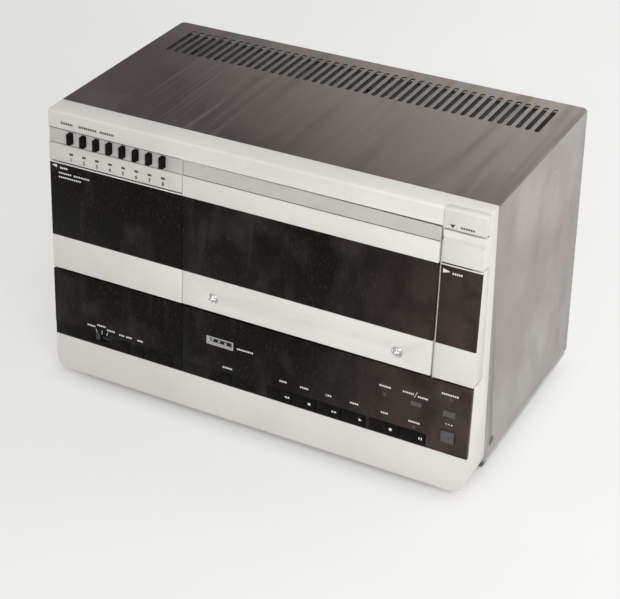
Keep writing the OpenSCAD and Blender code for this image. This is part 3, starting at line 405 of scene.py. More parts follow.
key_grey = finish(
    "key_grey", (0.05, 0.048, 0.046), 0.45,
    layers=[
        ((0.09, 0.088, 0.085), ("cloud", 160.0), 0.5, 0.8, 0.7),
        ((0.2, 0.19, 0.185), ("cloud", 700.0, EVEN, 1.0), 0.76, 0.82, 0.4),
    ],
    gloss=(("cloud", 90.0), 0.4, 0.52),
    bumps=[(("cloud", 1800.0), 0.000012)],
)
lamp_red = finish(
    "lamp_red", (0.03, 0.014, 0.012), 0.2,
    layers=[((0.07, 0.04, 0.034), ("cloud", 900.0), 0.45, 0.7, 0.7)],
    gloss=(("cloud", 500.0), 0.12, 0.3),
    Coat_Weight=0.4,
)
mark_white = finish(
    "mark_white", (0.62, 0.61, 0.59), 0.5,
    layers=[((0.42, 0.41, 0.4), ("cloud", 900.0), 0.5, 0.75, 0.7)],
    gloss=(("cloud", 400.0), 0.42, 0.6),
)
mark_black = finish(
    "mark_black", (0.012, 0.0115, 0.011), 0.5,
    layers=[((0.035, 0.033, 0.032), ("cloud", 900.0), 0.5, 0.75, 0.7)],
    gloss=(("cloud", 400.0), 0.42, 0.6),
)
mark_grey = finish(
    "mark_grey", (0.36, 0.35, 0.335), 0.4,
    layers=[((0.27, 0.26, 0.25), ("cloud", 500.0), 0.45, 0.7, 0.8)],
    gloss=(("cloud", 400.0), 0.34, 0.5),
)
rib_grey = finish(
    "rib_grey", (0.07, 0.065, 0.062), 0.4,
    layers=[
        ((0.13, 0.125, 0.12), ("cloud", 300.0), 0.45, 0.7, 0.8),
        ((0.05, 0.048, 0.046), ("cloud", 900.0), 0.6, 0.75, 0.6),
    ],
    gloss=(("cloud", 400.0), 0.3, 0.5),
)
print("plastics made")

# %% [markdown]
# The cover is steel sheet under a brown-grey texture paint. On the top the paint has worn to fine
# streaks that run from front to back, with some dust, and its colour grows much lighter towards the
# right and the back: a painted sheen. The sides are painted paler and cloudy, with short scratches;
# their paler colour is painted light, a lit copy of the top's paint. The tray, the rear panel and
# the tape deck are zinc-plated: pale metal with the flowery cells of the plating.

# %% Sheet metal
cover_top_paint_and_sheen = finish(
    "cover_top_paint_and_sheen", (0.036, 0.0262, 0.024), 0.42,
    layers=[
        # painted sheen: the top grows lighter towards the right and the back
        ((0.4, 0.36, 0.335), ("slope", 2.0, (0.75, 1.0, 0)), 0.3, 1.2, 0.9),
        ((0.03, 0.024, 0.022), ("cloud", 70.0, (1, 0.06, 1), 3.0), 0.5, 0.75, 0.5),
        ((0.17, 0.15, 0.14), ("cloud", 160.0, (1, 0.04, 1), 3.0), 0.56, 0.8, 0.4),
        ((0.11, 0.095, 0.088), ("cloud", 9.0, EVEN, 5.0), 0.46, 0.72, 0.3),
        ((0.4, 0.37, 0.35), ("cloud", 520.0, EVEN, 1.0), 0.78, 0.83, 0.4),
    ],
    gloss=(("cloud", 18.0, (1, 0.5, 1), 4.0), 0.34, 0.5),
    bumps=[(("cloud", 1500.0), 0.00003)],
    Specular_IOR_Level=0.08,
)
# painted light: a much paler copy of the cover's paint, for the strong light on the sides
cover_side_paint_and_light = finish(
    "cover_side_paint_and_light", (0.235, 0.215, 0.203), 0.45,
    layers=[
        ((0.32, 0.3, 0.288), ("cloud", 12.0, EVEN, 5.0), 0.42, 0.7, 0.9),
        ((0.17, 0.152, 0.144), ("cloud", 40.0, (1, 1, 0.5), 4.0), 0.5, 0.78, 0.65),
        ((0.55, 0.53, 0.51), ("cloud", 420.0, (1, 0.2, 1), 1.0), 0.75, 0.8, 0.5),
    ],
    gloss=(("cloud", 20.0), 0.38, 0.52),
    bumps=[(("cloud", 1500.0), 0.00003)],
)
zinc_plate = finish(
    "zinc_plate", (0.5, 0.51, 0.5), 0.38,
    layers=[
        ((0.4, 0.405, 0.4), ("cells", 90.0, EVEN, 0.0), 0.2, 0.8, 0.6),
        ((0.58, 0.58, 0.56), ("cloud", 30.0), 0.45, 0.7, 0.6),
        ((0.25, 0.23, 0.2), ("cloud", 260.0), 0.72, 0.8, 0.4),
    ],
    gloss=(("cells", 90.0, EVEN, 0.0), 0.3, 0.46),
    bumps=[(("cloud", 900.0), 0.00002)],
    Metallic=0.75,
)
bright_steel = finish(
    "bright_steel", (0.6, 0.6, 0.6), 0.25,
    layers=[((0.45, 0.45, 0.45), ("cloud", 300.0, EVEN, 4.0), 0.45, 0.75, 0.6)],
    gloss=(("cloud", 500.0), 0.18, 0.34),
    bumps=[(("cloud", 2500.0), 0.00001)],
    Metallic=1.0,
)
dark_screw = finish(
    "dark_screw", (0.06, 0.058, 0.055), 0.35,
    layers=[((0.14, 0.13, 0.125), ("cloud", 600.0), 0.5, 0.75, 0.6)],
    gloss=(("cloud", 500.0), 0.25, 0.42),
    Metallic=0.6,
)
drum_alloy = finish(
    "drum_alloy", (0.66, 0.66, 0.67), 0.16,
    layers=[((0.56, 0.56, 0.57), ("bands", 900.0, (0.05, 1, 0.05), 2.0), 0.3, 0.8, 0.4)],
    gloss=(("cloud", 200.0, (0.1, 1, 0.1)), 0.1, 0.22),
    bumps=[(("bands", 1500.0, (0.02, 1, 0.02), 1.0), 0.000004)],
    Metallic=1.0,
)
print("metals made")

# %% Rubber, board and the other inner finishes
rubber = finish(
    "foot_rubber", (0.018, 0.017, 0.017), 0.75,
    layers=[((0.05, 0.048, 0.046), ("cloud", 220.0), 0.5, 0.75, 0.7)],
    gloss=(("cloud", 200.0), 0.65, 0.85),
    bumps=[(("cloud", 1200.0), 0.00004)],
)
inner_black = finish(
    "inner_black", (0.02, 0.02, 0.021), 0.5,
    layers=[((0.045, 0.044, 0.043), ("cloud", 120.0), 0.5, 0.75, 0.7)],
    gloss=(("cloud", 150.0), 0.4, 0.6),
    bumps=[(("cloud", 1500.0), 0.00002)],
)
board_green = finish(
    "board_green", (0.03, 0.11, 0.05), 0.4,
    layers=[
        ((0.06, 0.17, 0.08), ("cells", 260.0, EVEN, 0.0), 0.3, 0.45, 0.6),
        ((0.02, 0.07, 0.035), ("cloud", 60.0), 0.45, 0.7, 0.6),
    ],
    gloss=(("cloud", 200.0), 0.3, 0.5),
)
core_steel = finish(
    "core_steel", (0.12, 0.11, 0.1), 0.5,
    layers=[((0.2, 0.16, 0.12), ("cloud", 240.0, EVEN, 4.0), 0.5, 0.75, 0.7)],
    gloss=(("cloud", 200.0), 0.4, 0.6),
    bumps=[(("cloud", 900.0), 0.00003)],
    Metallic=0.6,
)
print("inner finishes made")

# %% Painted shade black and lacquer
# painted shade: a dead black for gaps and slot walls that lie in shade
painted_shade_black = finish(
    "painted_shade_black", (0.006, 0.006, 0.006), 0.95,
    layers=[((0.016, 0.015, 0.015), ("cloud", 900.0), 0.5, 0.75, 0.8)],
    gloss=(("cloud", 900.0), 0.9, 1.0),
    bumps=[(("cloud", 2500.0), 0.00004)],
    Specular_IOR_Level=0.1,
)
resistor_tan = finish(
    "resistor_tan", (0.42, 0.28, 0.15), 0.5,
    layers=[
        ((0.12, 0.05, 0.03), ("bands", 500.0, (1, 1, 0.2), 1.0), 0.62, 0.72, 0.8),
        ((0.5, 0.36, 0.2), ("cloud", 300.0), 0.5, 0.7, 0.5),
    ],
    gloss=(("cloud", 300.0), 0.4, 0.6),
)
print("felt and lacquer made")
# %% [markdown]
# A moulded or pressed edge is never razor sharp: it catches a thin line of light. The CAD solids have
# true shapes but sharp edges, so most outer pieces are made from a copy of the CAD mesh. The loose
# triangles are merged, flat areas are dissolved into whole faces, and every edge steeper than a limit
# gets a small round. Bevelling the copy, and not modelling the piece again, keeps every hole where
# the CAD model has it.

# %% Pieces from a softened copy of the CAD mesh
FINE_WELD = 0.002 * MM
SHEET_WELD = 0.06 * MM
FLAT_WITHIN = math.radians(0.4)


def put(name, mesh, material, body, replaced=(), smooth_angle=32):
    """Links a finished mesh as a piece that rides on a body, and hides the CAD nodes that it replaces."""
    for polygon in mesh.polygons:
        polygon.use_smooth = True
    mesh.set_sharp_from_angle(angle=math.radians(smooth_angle))
    mesh.materials.clear()
    mesh.materials.append(material)
    piece = bpy.data.objects.new(name, mesh)
    bpy.context.scene.collection.objects.link(piece)
    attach(piece, body)
    if replaced:
        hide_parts(*replaced)
    return piece


def as_mesh(name, bm):
    """Turns a bmesh into a mesh with its faces outwards."""
    bmesh.ops.recalc_face_normals(bm, faces=bm.faces)
    mesh = bpy.data.meshes.new(name)
    bm.to_mesh(mesh)
    bm.free()
    return mesh


def merged(node_name, weld=FINE_WELD):
    """A bmesh of a CAD node with its triangles joined and its flat areas made whole."""
    bm = bmesh.new()
    bm.from_mesh(nodes[node_name].data)
    bmesh.ops.remove_doubles(bm, verts=bm.verts[:], dist=weld)
    bmesh.ops.dissolve_degenerate(bm, edges=bm.edges[:], dist=weld)
    bmesh.ops.dissolve_limit(bm, angle_limit=FLAT_WITHIN, verts=bm.verts[:], edges=bm.edges[:])
    return bm


def round_edges(bm, width, steps=2, steepest=35, clamp=True, keep=None):
    """Rounds the edges of a bmesh that turn more than a limit."""
    edges = [
        e for e in bm.edges
        if e.is_manifold and e.calc_face_angle(0) > math.radians(steepest) and (keep is None or keep(e))
    ]
    bmesh.ops.bevel(bm, geom=edges, offset=width, offset_type="OFFSET", segments=steps, profile=0.5,
                    affect="EDGES", clamp_overlap=clamp)
    return bm


def kept_within(bm, node_name):
    """Holds a bmesh within a CAD node's own box, so that no rounding sticks out of it."""
    low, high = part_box(node_name)
    for vertex in bm.verts:
        vertex.co = [min(max(c, a), b) for c, a, b in zip(vertex.co, low, high)]
    return bm


def body_of(node_name):
    """The body that carries a CAD node."""
    return nodes[node_name]["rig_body"]


def softened(name, node_name, material, width, steps=2, weld=FINE_WELD, clamp=True):
    """One CAD node, copied, softened, kept within the node's own box and given its finish."""
    bm = kept_within(round_edges(merged(node_name, weld), width, steps, clamp=clamp), node_name)
    return put(name, as_mesh(name, bm), material, body_of(node_name), (node_name,))


def line_with(piece, material, test):
    """Gives a second finish to the faces whose middle and direction pass a test."""
    mesh = piece.data
    mesh.materials.append(material)
    count = 0
    for polygon in mesh.polygons:
        if test(polygon.center, polygon.normal):
            polygon.material_index = len(mesh.materials) - 1
            count += 1
    return count


print("softening starts from", len(nodes), "CAD nodes")

# %% [markdown]
# A gap between two mouldings looks black, because hardly any light gets back out of it. The rendered
# gaps are only a millimetre deep in places and would stay grey, so the walls behind the lid, the keys
# and the lamps get the black finish of the inside. The test looks at each face's place on the front.

# %% The moulded front, the lid and the doors
CASE_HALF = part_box("front_fascia")[1].x
HINGE_ROOM = 9 * MM
SHALLOW = 2.6 * MM
LINED_TOP, LINED_FOOT = 14 * MM, 225 * MM
STRIP_EDGE, BAND_EDGE, BAND_FOOT = 15.8 * MM, 28.9 * MM, 45.5 * MM
STRIP_NEAR, STRIP_FAR, BAND_FAR = 0.6 * MM, 1.4 * MM, 0.5 * MM
FRONT_WELD = 0.12 * MM
FRONT_ROUND, LID_ROUND = 0.35 * MM, 0.3 * MM
front_shell = softened("front_shell", "front_fascia", silver_paint, FRONT_ROUND,
                       weld=FRONT_WELD, clamp=False)


def in_an_opening(middle, normal):
    """True for deep walls of the front's openings, but not right of the lid or where the doors hinge."""
    point = FACE.inverted() @ middle
    between = -CASE_HALF + HINGE_ROOM < point.x <= lid.x1 - 1 * MM
    return point.y > SHALLOW and between and LINED_TOP < -point.z < LINED_FOOT


print("lined faces:", line_with(front_shell, inner_black, in_an_opening))
lid_shell = softened("lid_shell", "cassette_lid", lid_paint, LID_ROUND,
                     weld=SHEET_WELD, clamp=False)


def in_the_strip(middle, normal):
    """True for the floor of the sunken strip behind the channel keys."""
    point = FACE.inverted() @ middle
    return STRIP_EDGE < -point.z < BAND_EDGE and STRIP_NEAR < point.y < STRIP_FAR


# the floor of the sunken strip gets the darker silver, which is painted shade
for shell in (front_shell, lid_shell):
    print("strip faces:", line_with(shell, strip_shaded_silver, in_the_strip))


def on_the_band(middle, normal):
    """True for the flat band that the channel numbers stand on."""
    point = FACE.inverted() @ middle
    return BAND_EDGE < -point.z < BAND_FOOT and point.y < BAND_FAR and point.x < lid.x0


# the band gets the darker silver, which is painted shade
print("band faces:", line_with(front_shell, band_shaded_silver, on_the_band))
for door_name in ("left_door", "right_door"):
    softened(door_name + "_shell", door_name, silver_paint, LID_ROUND,
             weld=SHEET_WELD, clamp=False)

# %% [markdown]
# The eject button has a broad bright bevel along its top and down its right side. Two bevels make it:
# a wide flat one on those two edges, picked by their place, and a fine round on what is left.

# %% Eject button
EJECT_BEVEL = 2.4 * MM
BEVEL_FROM = 8
NEAR_FRONT, NEAR_TOP, NEAR_SIDE, LONG_EDGE = 3.5 * MM, 4 * MM, 1 * MM, 6 * MM


def on_broad_bevel(edge):
    """True for the top front edge and the right front edge of the eject button."""
    places = [FACE.inverted() @ v.co for v in edge.verts]
    along_front = all(p.y < NEAR_FRONT for p in places) and edge.calc_length() > LONG_EDGE
    top = all(-p.z < NEAR_TOP for p in places)
    right = all(p.x > CASE_HALF - NEAR_SIDE for p in places)
    return along_front and (top or right)


eject_bm = round_edges(merged("eject_button"), EJECT_BEVEL, 1, BEVEL_FROM, True, on_broad_bevel)
round_edges(eject_bm, FRONT_ROUND, 2, 30)
put("eject_cap", as_mesh("eject_cap", kept_within(eject_bm, "eject_button")), silver_paint,
    "eject_body", ("eject_button",))

# %% The dark windows and control panels
WINDOWS = {"cassette_window": ("lid_window", 0.2), "left_door_panel": ("left_door_window", 0.2),
           "right_door_panel": ("right_door_window", 0.2), "clock_window": ("clock_panel", 0.15),
           "control_window": ("control_panel", 0.15)}
for node_name, (piece_name, width) in WINDOWS.items():
    softened(piece_name, node_name, dark_acrylic_and_reflection, width * MM)

# %% Sheet metal of the case
SHEET_ROUND = 0.2 * MM
SLOTS_FRONT, SLOTS_BACK, SLOTS_INSET = -60 * MM, 105 * MM, 5 * MM
COVER_SKIN = 1.3 * MM
cover_sheet = softened("cover_sheet_top", "top_cover", cover_top_paint_and_sheen, SHEET_ROUND, 1,
                       SHEET_WELD, False)


def in_a_slot(middle, normal):
    """True for the walls of the cover's slots and for its underside."""
    inside = abs(middle.x) < CASE_HALF - SLOTS_INSET and SLOTS_FRONT < middle.y < SLOTS_BACK
    return inside and middle.z > CASE_TOP - COVER_SKIN and normal.z < 0.5


# The slot walls and the underside get a black that is painted shade, for the dark inside of the case.
print("lined slot walls:", line_with(cover_sheet, painted_shade_black, in_a_slot))

# %% [markdown]
# A dark ring sits in a shallow dish around the screw of each side sheet. Its darkness is painted shade,
# for the shadow round a head that stands proud. The dish is turned out of the sheet with a Boolean
# modifier and a slim round cutter, and the result replaces the sheet's mesh.

# %% Side sheets with their screw dishes
DISH_R = 4.3 * MM
DISH_DEPTH = 0.28 * MM
SIDE_SCREW = Vector((CASE_HALF, -58.7 * MM, 31.3 * MM))
SIDEWAYS = Matrix.Rotation(math.radians(90), 4, "Y")


def beside(side):
    """The place of the screw in the left side sheet (-1) or in the right one (1)."""
    return Matrix.Translation((side * SIDE_SCREW.x, SIDE_SCREW.y, SIDE_SCREW.z))


side_bm = kept_within(round_edges(merged("side_panels"), 0.25 * MM), "side_panels")
cutter_bm = bmesh.new()
for side in (-1, 1):
    bmesh.ops.create_cone(cutter_bm, cap_ends=True, segments=48, radius1=DISH_R, radius2=DISH_R,
                          depth=2 * DISH_DEPTH, matrix=beside(side) @ SIDEWAYS)
plain_sides = bpy.data.objects.new("plain_sides", as_mesh("plain_sides", side_bm))
dish_cutter = bpy.data.objects.new("dish_cutter", as_mesh("dish_cutter", cutter_bm))
for thing in (plain_sides, dish_cutter):
    bpy.context.scene.collection.objects.link(thing)
dishing = plain_sides.modifiers.new("dishes", "BOOLEAN")
dishing.operation, dishing.solver, dishing.object = "DIFFERENCE", "EXACT", dish_cutter
evaluated = plain_sides.evaluated_get(bpy.context.evaluated_depsgraph_get())
dished = bpy.data.meshes.new_from_object(evaluated)
for thing in (plain_sides, dish_cutter):
    bpy.data.objects.remove(thing)
put("cover_sheet_sides", dished, cover_side_paint_and_light, "case", ("side_panels",))
print("side sheets:", len(dished.polygons), "faces")

# %% Rear sheet, tray and tape deck
for piece_name, node_name in (("rear_sheet", "rear_panel"), ("base_tray", "base_plate"),
                              ("deck_sheet", "deck_chassis")):
    softened(piece_name, node_name, zinc_plate, SHEET_ROUND, 1)
softened("holder_sheet", "cassette_holder", zinc_plate, 0.25 * MM)

# %% CAD pieces that keep their mesh
KEPT = {
    "indicator_lamps": lamp_red, "feet": rubber, "case_screws": dark_screw, "hinge_pins": bright_steel,
    "counter_frame": mark_white, "counter_wheels": inner_black, "lower_drum": drum_alloy,
    "upper_drum": drum_alloy, "tape_guides": bright_steel, "main_board": board_green,
    "transformer": core_steel, "tuner_module": zinc_plate, "rear_sockets": bright_steel,
    "power_inlet": inner_black, "lid_screws": bright_steel, "capstan": bright_steel,
    "pinch_roller": rubber, "supply_reel": inner_black, "takeup_reel": inner_black,
    "tuning_knob": key_black, "tracking_knob": key_black,
}
for node_name, material in KEPT.items():
    nodes[node_name].data.materials.clear()
    nodes[node_name].data.materials.append(material)
print("kept CAD meshes:", len(KEPT))

# %% Keys and buttons
PANEL_KEYS = ["timer_on_button", "day_button", "hour_button", "minute_button", "counter_reset_button",
              "rewind_key", "stop_key", "forward_key", "play_key", "record_key", "pause_key"]
GREY_KEYS = ["speed_button", "timer_button", "output_button"]
CHANNELS = [f"channel_key_{number}" for number in range(1, 9)]
for group, paint, slot, width in ((PANEL_KEYS, key_black, "dark_key", 0.45),
                                  (GREY_KEYS, key_grey, "grey_key", 0.35),
                                  (["mode_switch"], key_black, "dark_key", 0.3),
                                  (CHANNELS, key_black, "dark_key", 0.5)):
    for node_name in group:
        softened(node_name + "_cap", node_name, paint, width * MM, 3)
print("keys:", len(PANEL_KEYS) + len(GREY_KEYS) + len(CHANNELS) + 1)

# %% [markdown]
# The printed marks are paint a few hundredths of a millimetre thick. An image could carry them, but a
# thin plate keeps its edge at any distance and needs no file. Each mark is an outline in millimetres
# across and down the front. Every corner is dropped straight onto the surface that carries it, so a
# mark follows a bevel, and sits on a door or a key that moves.

# %% Thin plates on the front
MARK_PROUD = 0.05 * MM
MARK_ROOT = 0.05 * MM
PROBE_FROM = 30 * MM
surfaces = {}


def surface_of(name):
    """A search tree over the mesh of a CAD node, made once."""
    if name not in surfaces:
        mesh = nodes[name].data
        surfaces[name] = BVHTree.FromPolygons([v.co for v in mesh.vertices],
                                              [p.vertices for p in mesh.polygons])
    return surfaces[name]


def depth_at(name, x, v):
    """How deep behind the leaning face a surface lies, straight in from a place on the front."""
    start = FACE @ Vector((x * MM, -PROBE_FROM, -v * MM))
    hit = surface_of(name).ray_cast(start, FACE.to_3x3() @ Vector((0, 1, 0)))
    return hit[3] - PROBE_FROM if hit[0] else 0.0


def plates(name, outlines, carrier):
    """Thin plates from outlines of (across, down) points, laid on the surface of a carrier."""
    bm = bmesh.new()
    for outline in outlines:
        rings = []
        for offset in (-MARK_PROUD, MARK_ROOT):
            rings.append([bm.verts.new(FACE @ Vector((x * MM, depth_at(carrier, x, v) + offset, -v * MM)))
                          for x, v in outline])
        front, back = rings
        bm.faces.new(front)
        bm.faces.new(back[::-1])
        for i in range(len(outline)):
            j = (i + 1) % len(outline)
            bm.faces.new((front[j], front[i], back[i], back[j]))
    return as_mesh(name, bm)


def bar(x0, x1, v, height):
    """A rectangle across the front, by its ends, its middle line and its height."""
    return [(x0, v - height / 2), (x1, v - height / 2), (x1, v + height / 2), (x0, v + height / 2)]


def arrow(x, v, width, height, way):
    """A triangle that points left (-1) or right (1)."""
    tip, foot = x + way * width / 2, x - way * width / 2
    return [(tip, v), (foot, v - height / 2), (foot, v + height / 2)]


def disc(x, v, radius, points=18):
    """A round spot."""
    turn = 2 * math.pi / points
    return [(x + radius * math.cos(i * turn), v + radius * math.sin(i * turn)) for i in range(points)]


def tick(x0, v0, x1, v1, width):
    """A straight stroke between two places."""
    length = math.hypot(x1 - x0, v1 - v0)
    ax, av = -(v1 - v0) / length * width / 2, (x1 - x0) / length * width / 2
    return [(x0 + ax, v0 + av), (x1 + ax, v1 + av), (x1 - ax, v1 - av), (x0 - ax, v0 - av)]


def blank_label(x0, x1, v, height=1.5):
    """A row of short blocks where the real machine has a word; it has no letters."""
    block, gap = 1.25, 0.55
    count = max(2, round((x1 - x0 + gap) / (block + gap)))
    step = (x1 - x0 + gap) / count
    return [bar(x0 + i * step, x0 + (i + 1) * step - gap, v, height) for i in range(count)]


def printed(name, outlines, carrier, material):
    """Marks that ride with the body of the node that carries them."""
    return put(name, plates(name, outlines, carrier), material, body_of(carrier))


print("a mark is", round((MARK_PROUD + MARK_ROOT) / MM, 2), "mm thick")

# %% [markdown]
# The keys of a recorder carry the usual transport signs: two arrows, a square, one arrow, a disc and
# two bars. The doors and the eject button have a plain arrow that shows which way they move. Words
# are left off: where the real front has one, there is a row of small blocks of the same length.

# %% Signs on the keys, doors and button
SIGN_V = 201.3
SIGNS = {
    "rewind_key": [arrow(33.2, SIGN_V, 2.2, 2.2, -1), arrow(35.6, SIGN_V, 2.2, 2.2, -1)],
    "stop_key": [bar(53.9, 56.2, SIGN_V, 2.2)],
    "forward_key": [arrow(76.6, SIGN_V, 2.2, 2.2, 1), arrow(79.0, SIGN_V, 2.2, 2.2, 1)],
    "play_key": [arrow(101.2, SIGN_V, 2.9, 2.5, 1)],
    "record_key": [disc(127.7, SIGN_V, 1.35)],
    "pause_key": [bar(152.3, 153.2, SIGN_V, 2.3), bar(154.2, 155.1, SIGN_V, 2.3)],
}
for node_name, outlines in SIGNS.items():
    printed(node_name.replace("_key", "_sign"), outlines, node_name, mark_white)
left_marks = [arrow(-189.0, 48.9, 5.0, 2.9, -1)]
for x0, x1, v, height in ((-183.4, -176.0, 49.9, 1.5), (-184.8, -172.5, 54.6, 1.3),
                          (-170.0, -154.6, 54.6, 1.3), (-184.8, -163.0, 58.3, 1.3)):
    left_marks += blank_label(x0, x1, v, height)
printed("left_door_marks", left_marks, "left_door_panel", mark_white)
right_marks = [arrow(164.9, 51.0, 6.0, 3.6, 1)] + blank_label(169.6, 177.6, 51.8, 1.7)
printed("right_door_marks", right_marks, "right_door_panel", mark_white)
eject_arrow = [(164.6, 12.4), (168.9, 12.4), (166.75, 15.3)]
printed("eject_marks", [eject_arrow] + blank_label(173.3, 184.2, 13.6), "eject_button", mark_black)
print("signs on", len(SIGNS), "keys")

# %% Marks of the clock panel and the control panel
LABEL_V = 187.9
clock_marks = [tick(-151.6, 192.4, -150.2, 196.2, 0.5), tick(-145.5, 192.3, -145.5, 196.2, 0.5),
               tick(-139.6, 192.4, -141.0, 196.2, 0.5)]
for x0, x1, v in ((-160.1, -152.4, 190.3), (-150.2, -141.8, 188.0), (-140.4, -132.5, 190.3),
                  (-128.0, -123.0, 191.2), (-121.0, -115.4, 191.2), (-109.6, -104.4, 191.2)):
    clock_marks += blank_label(x0, x1, v)
printed("clock_panel_marks", clock_marks, "clock_window", mark_white)

control_marks = [tick(148.3, 160.9, 146.3, 166.0, 0.45), tick(69.9, 186.7, 69.9, 189.2, 0.5)]
for x0, x1, v in ((-12.9, 2.1, 170.4), (-26.1, -17.3, 191.2), (27.3, 33.7, LABEL_V), (46.2, 53.8, LABEL_V),
                  (71.2, 74.6, LABEL_V), (91.4, 98.6, LABEL_V), (118.6, 124.7, LABEL_V),
                  (142.6, 152.2, LABEL_V + 0.3), (115.9, 125.9, 164.0), (136.2, 145.6, 163.4),
                  (149.0, 157.6, 164.4), (168.7, 182.6, 154.8)):
    control_marks += blank_label(x0, x1, v)
control_marks += [disc(x, 180.8, 0.6, 8) for x in (174.3, 176.6, 178.9)]
printed("control_panel_marks", control_marks, "control_window", mark_white)
print("marks on the panels:", len(clock_marks) + len(control_marks))

# %% [markdown]
# The eight channels are numbered below their lamps. The figures are a text curve, made a mesh while
# it still lies flat at the origin, and only then turned upright and set on the front.

# %% Numbers of the channels
FIGURE_SIZE = 4.3 * MM
FIGURE_BOLD = 0.16 * MM
FIGURE_V = 40.9
FIGURE_ASIDE = 0.3


def figure(text, size, place):
    """A printed figure as a mesh, with its middle at a place."""
    curve = bpy.data.curves.new("figure", "FONT")
    curve.body = text
    curve.size = size
    curve.align_x = "CENTER"
    curve.align_y = "CENTER"
    curve.extrude = MARK_PROUD
    curve.offset = FIGURE_BOLD
    curve.resolution_u = 3
    flat = bpy.data.objects.new("figure", curve)
    bpy.context.scene.collection.objects.link(flat)
    evaluated = flat.evaluated_get(bpy.context.evaluated_depsgraph_get())
    mesh = bpy.data.meshes.new_from_object(evaluated)
    bpy.data.objects.remove(flat)
    mesh.transform(place)
    return mesh


def joined(name, meshes):
    """Several meshes as one."""
    bm = bmesh.new()
    for mesh in meshes:
        bm.from_mesh(mesh)
    bmesh.ops.remove_doubles(bm, verts=bm.verts[:], dist=0.001 * MM)
    return as_mesh(name, bm)


TO_FRONT = Matrix.Rotation(math.radians(90), 4, "X")
figures = []
for number, key_name in enumerate(CHANNELS, 1):
    x = FaceBox(key_name).x / MM + FIGURE_ASIDE
    spot = Matrix.Translation((x * MM, depth_at("front_fascia", x, FIGURE_V), -FIGURE_V * MM))
    figures.append(figure(str(number), FIGURE_SIZE, FACE @ spot @ TO_FRONT))
put("channel_numbers", joined("channel_numbers", figures), mark_black, "case")
title = []
for x0, x1 in ((-181.0, -169.5), (-163.5, -146.5), (-143.0, -129.8)):
    title += blank_label(x0, x1, 9.8, 2.0)
printed("title_marks", title, "front_fascia", mark_black)
print("figures:", len(figures))

# %% [markdown]
# Geometry Nodes make what repeats. Each tree gets named inputs for its sizes. To use one, an empty
# carrier gets the tree as a modifier, its inputs are set by their identifiers, and the evaluated
# result is copied into a plain mesh. After that the carrier and the modifier are gone, so nothing
# live is left for the frame to trip over.

# %% Helpers for Geometry Nodes
def new_tree(name, inputs):
    """A tree with a Geometry input and output and named inputs, each (name, socket kind, value)."""
    tree = bpy.data.node_groups.new(name, "GeometryNodeTree")
    tree.interface.new_socket("Geometry", in_out="OUTPUT", socket_type="NodeSocketGeometry")
    tree.interface.new_socket("Geometry", in_out="INPUT", socket_type="NodeSocketGeometry")
    for label, kind, value in [*inputs, ("Finish", "Material", None)]:
        socket = tree.interface.new_socket(label, in_out="INPUT", socket_type="NodeSocket" + kind)
        if value is not None:
            socket.default_value = value
    return tree, tree.nodes.new("NodeGroupInput").outputs, tree.nodes.new("NodeGroupOutput").inputs


def triple(tree, x=0.0, y=0.0, z=0.0):
    return node(tree, "ShaderNodeCombineXYZ", X=x, Y=y, Z=z)[0]


def hand_over(tree, instances, given, result, flat=False):
    """Ends a tree: the instances become a real mesh, get the finish and go to the output."""
    mesh = node(tree, "GeometryNodeRealizeInstances", Geometry=instances["Instances"])["Geometry"]
    if flat:
        mesh = node(tree, "GeometryNodeSetShadeSmooth", Geometry=mesh, Shade_Smooth=False)["Geometry"]
    painted = node(tree, "GeometryNodeSetMaterial", Geometry=mesh, Material=given["Finish"])
    tree.links.new(painted["Geometry"], result["Geometry"])
    print("tree:", tree.name)


def grown(name, tree, material, values, points=((0, 0, 0),)):
    """Runs a tree on a carrier of loose points and hands back the plain mesh it makes."""
    seed_mesh = bpy.data.meshes.new(name + "_points")
    seed_mesh.from_pydata(points, [], [])
    carrier = bpy.data.objects.new(name + "_carrier", seed_mesh)
    bpy.context.scene.collection.objects.link(carrier)
    modifier = carrier.modifiers.new("grow", "NODES")
    modifier.node_group = tree
    identifiers = {item.name: item.identifier for item in tree.interface.items_tree
                   if item.in_out == "INPUT"}
    for label, value in {**values, "Finish": material}.items():
        modifier[identifiers[label]] = value
    evaluated = carrier.evaluated_get(bpy.context.evaluated_depsgraph_get())
    mesh = bpy.data.meshes.new_from_object(evaluated)
    mesh.name = name
    bpy.data.objects.remove(carrier)
    return mesh


print("helpers for Geometry Nodes ready")

# %% [markdown]
# The strip behind the channel keys, and its continuation on the lid, has a fine slanted hatch moulded
# in. A bump pattern would do from afar, but the ribs also break the light along their edges, so they
# are real: one slim rod, repeated along a line by a tree, then cut to the strip's outline.

# %% A tree for a row of rods
rod_row, given, result = new_tree("rod_row", [
    ("Length", "Float", 0.1), ("Pitch", "Float", 0.001), ("Rod Length", "Float", 0.01),
    ("Rod Radius", "Float", 0.0003), ("Slant", "Float", 0.0), ("Sides", "Int", 6)])
how_many = maths(rod_row, "FLOOR", maths(rod_row, "DIVIDE", given["Length"], given["Pitch"]))
line = node(rod_row, "GeometryNodeMeshLine", Count=how_many, Offset=triple(rod_row, x=given["Pitch"]))
rod = node(rod_row, "GeometryNodeMeshCylinder", Vertices=given["Sides"], Radius=given["Rod Radius"],
           Depth=given["Rod Length"])
tilted = node(rod_row, "GeometryNodeTransform", Geometry=rod["Mesh"],
              Rotation=triple(rod_row, y=given["Slant"]))
rods = node(rod_row, "GeometryNodeInstanceOnPoints", Points=line["Mesh"], Instance=tilted["Geometry"])
hand_over(rod_row, rods, given, result)

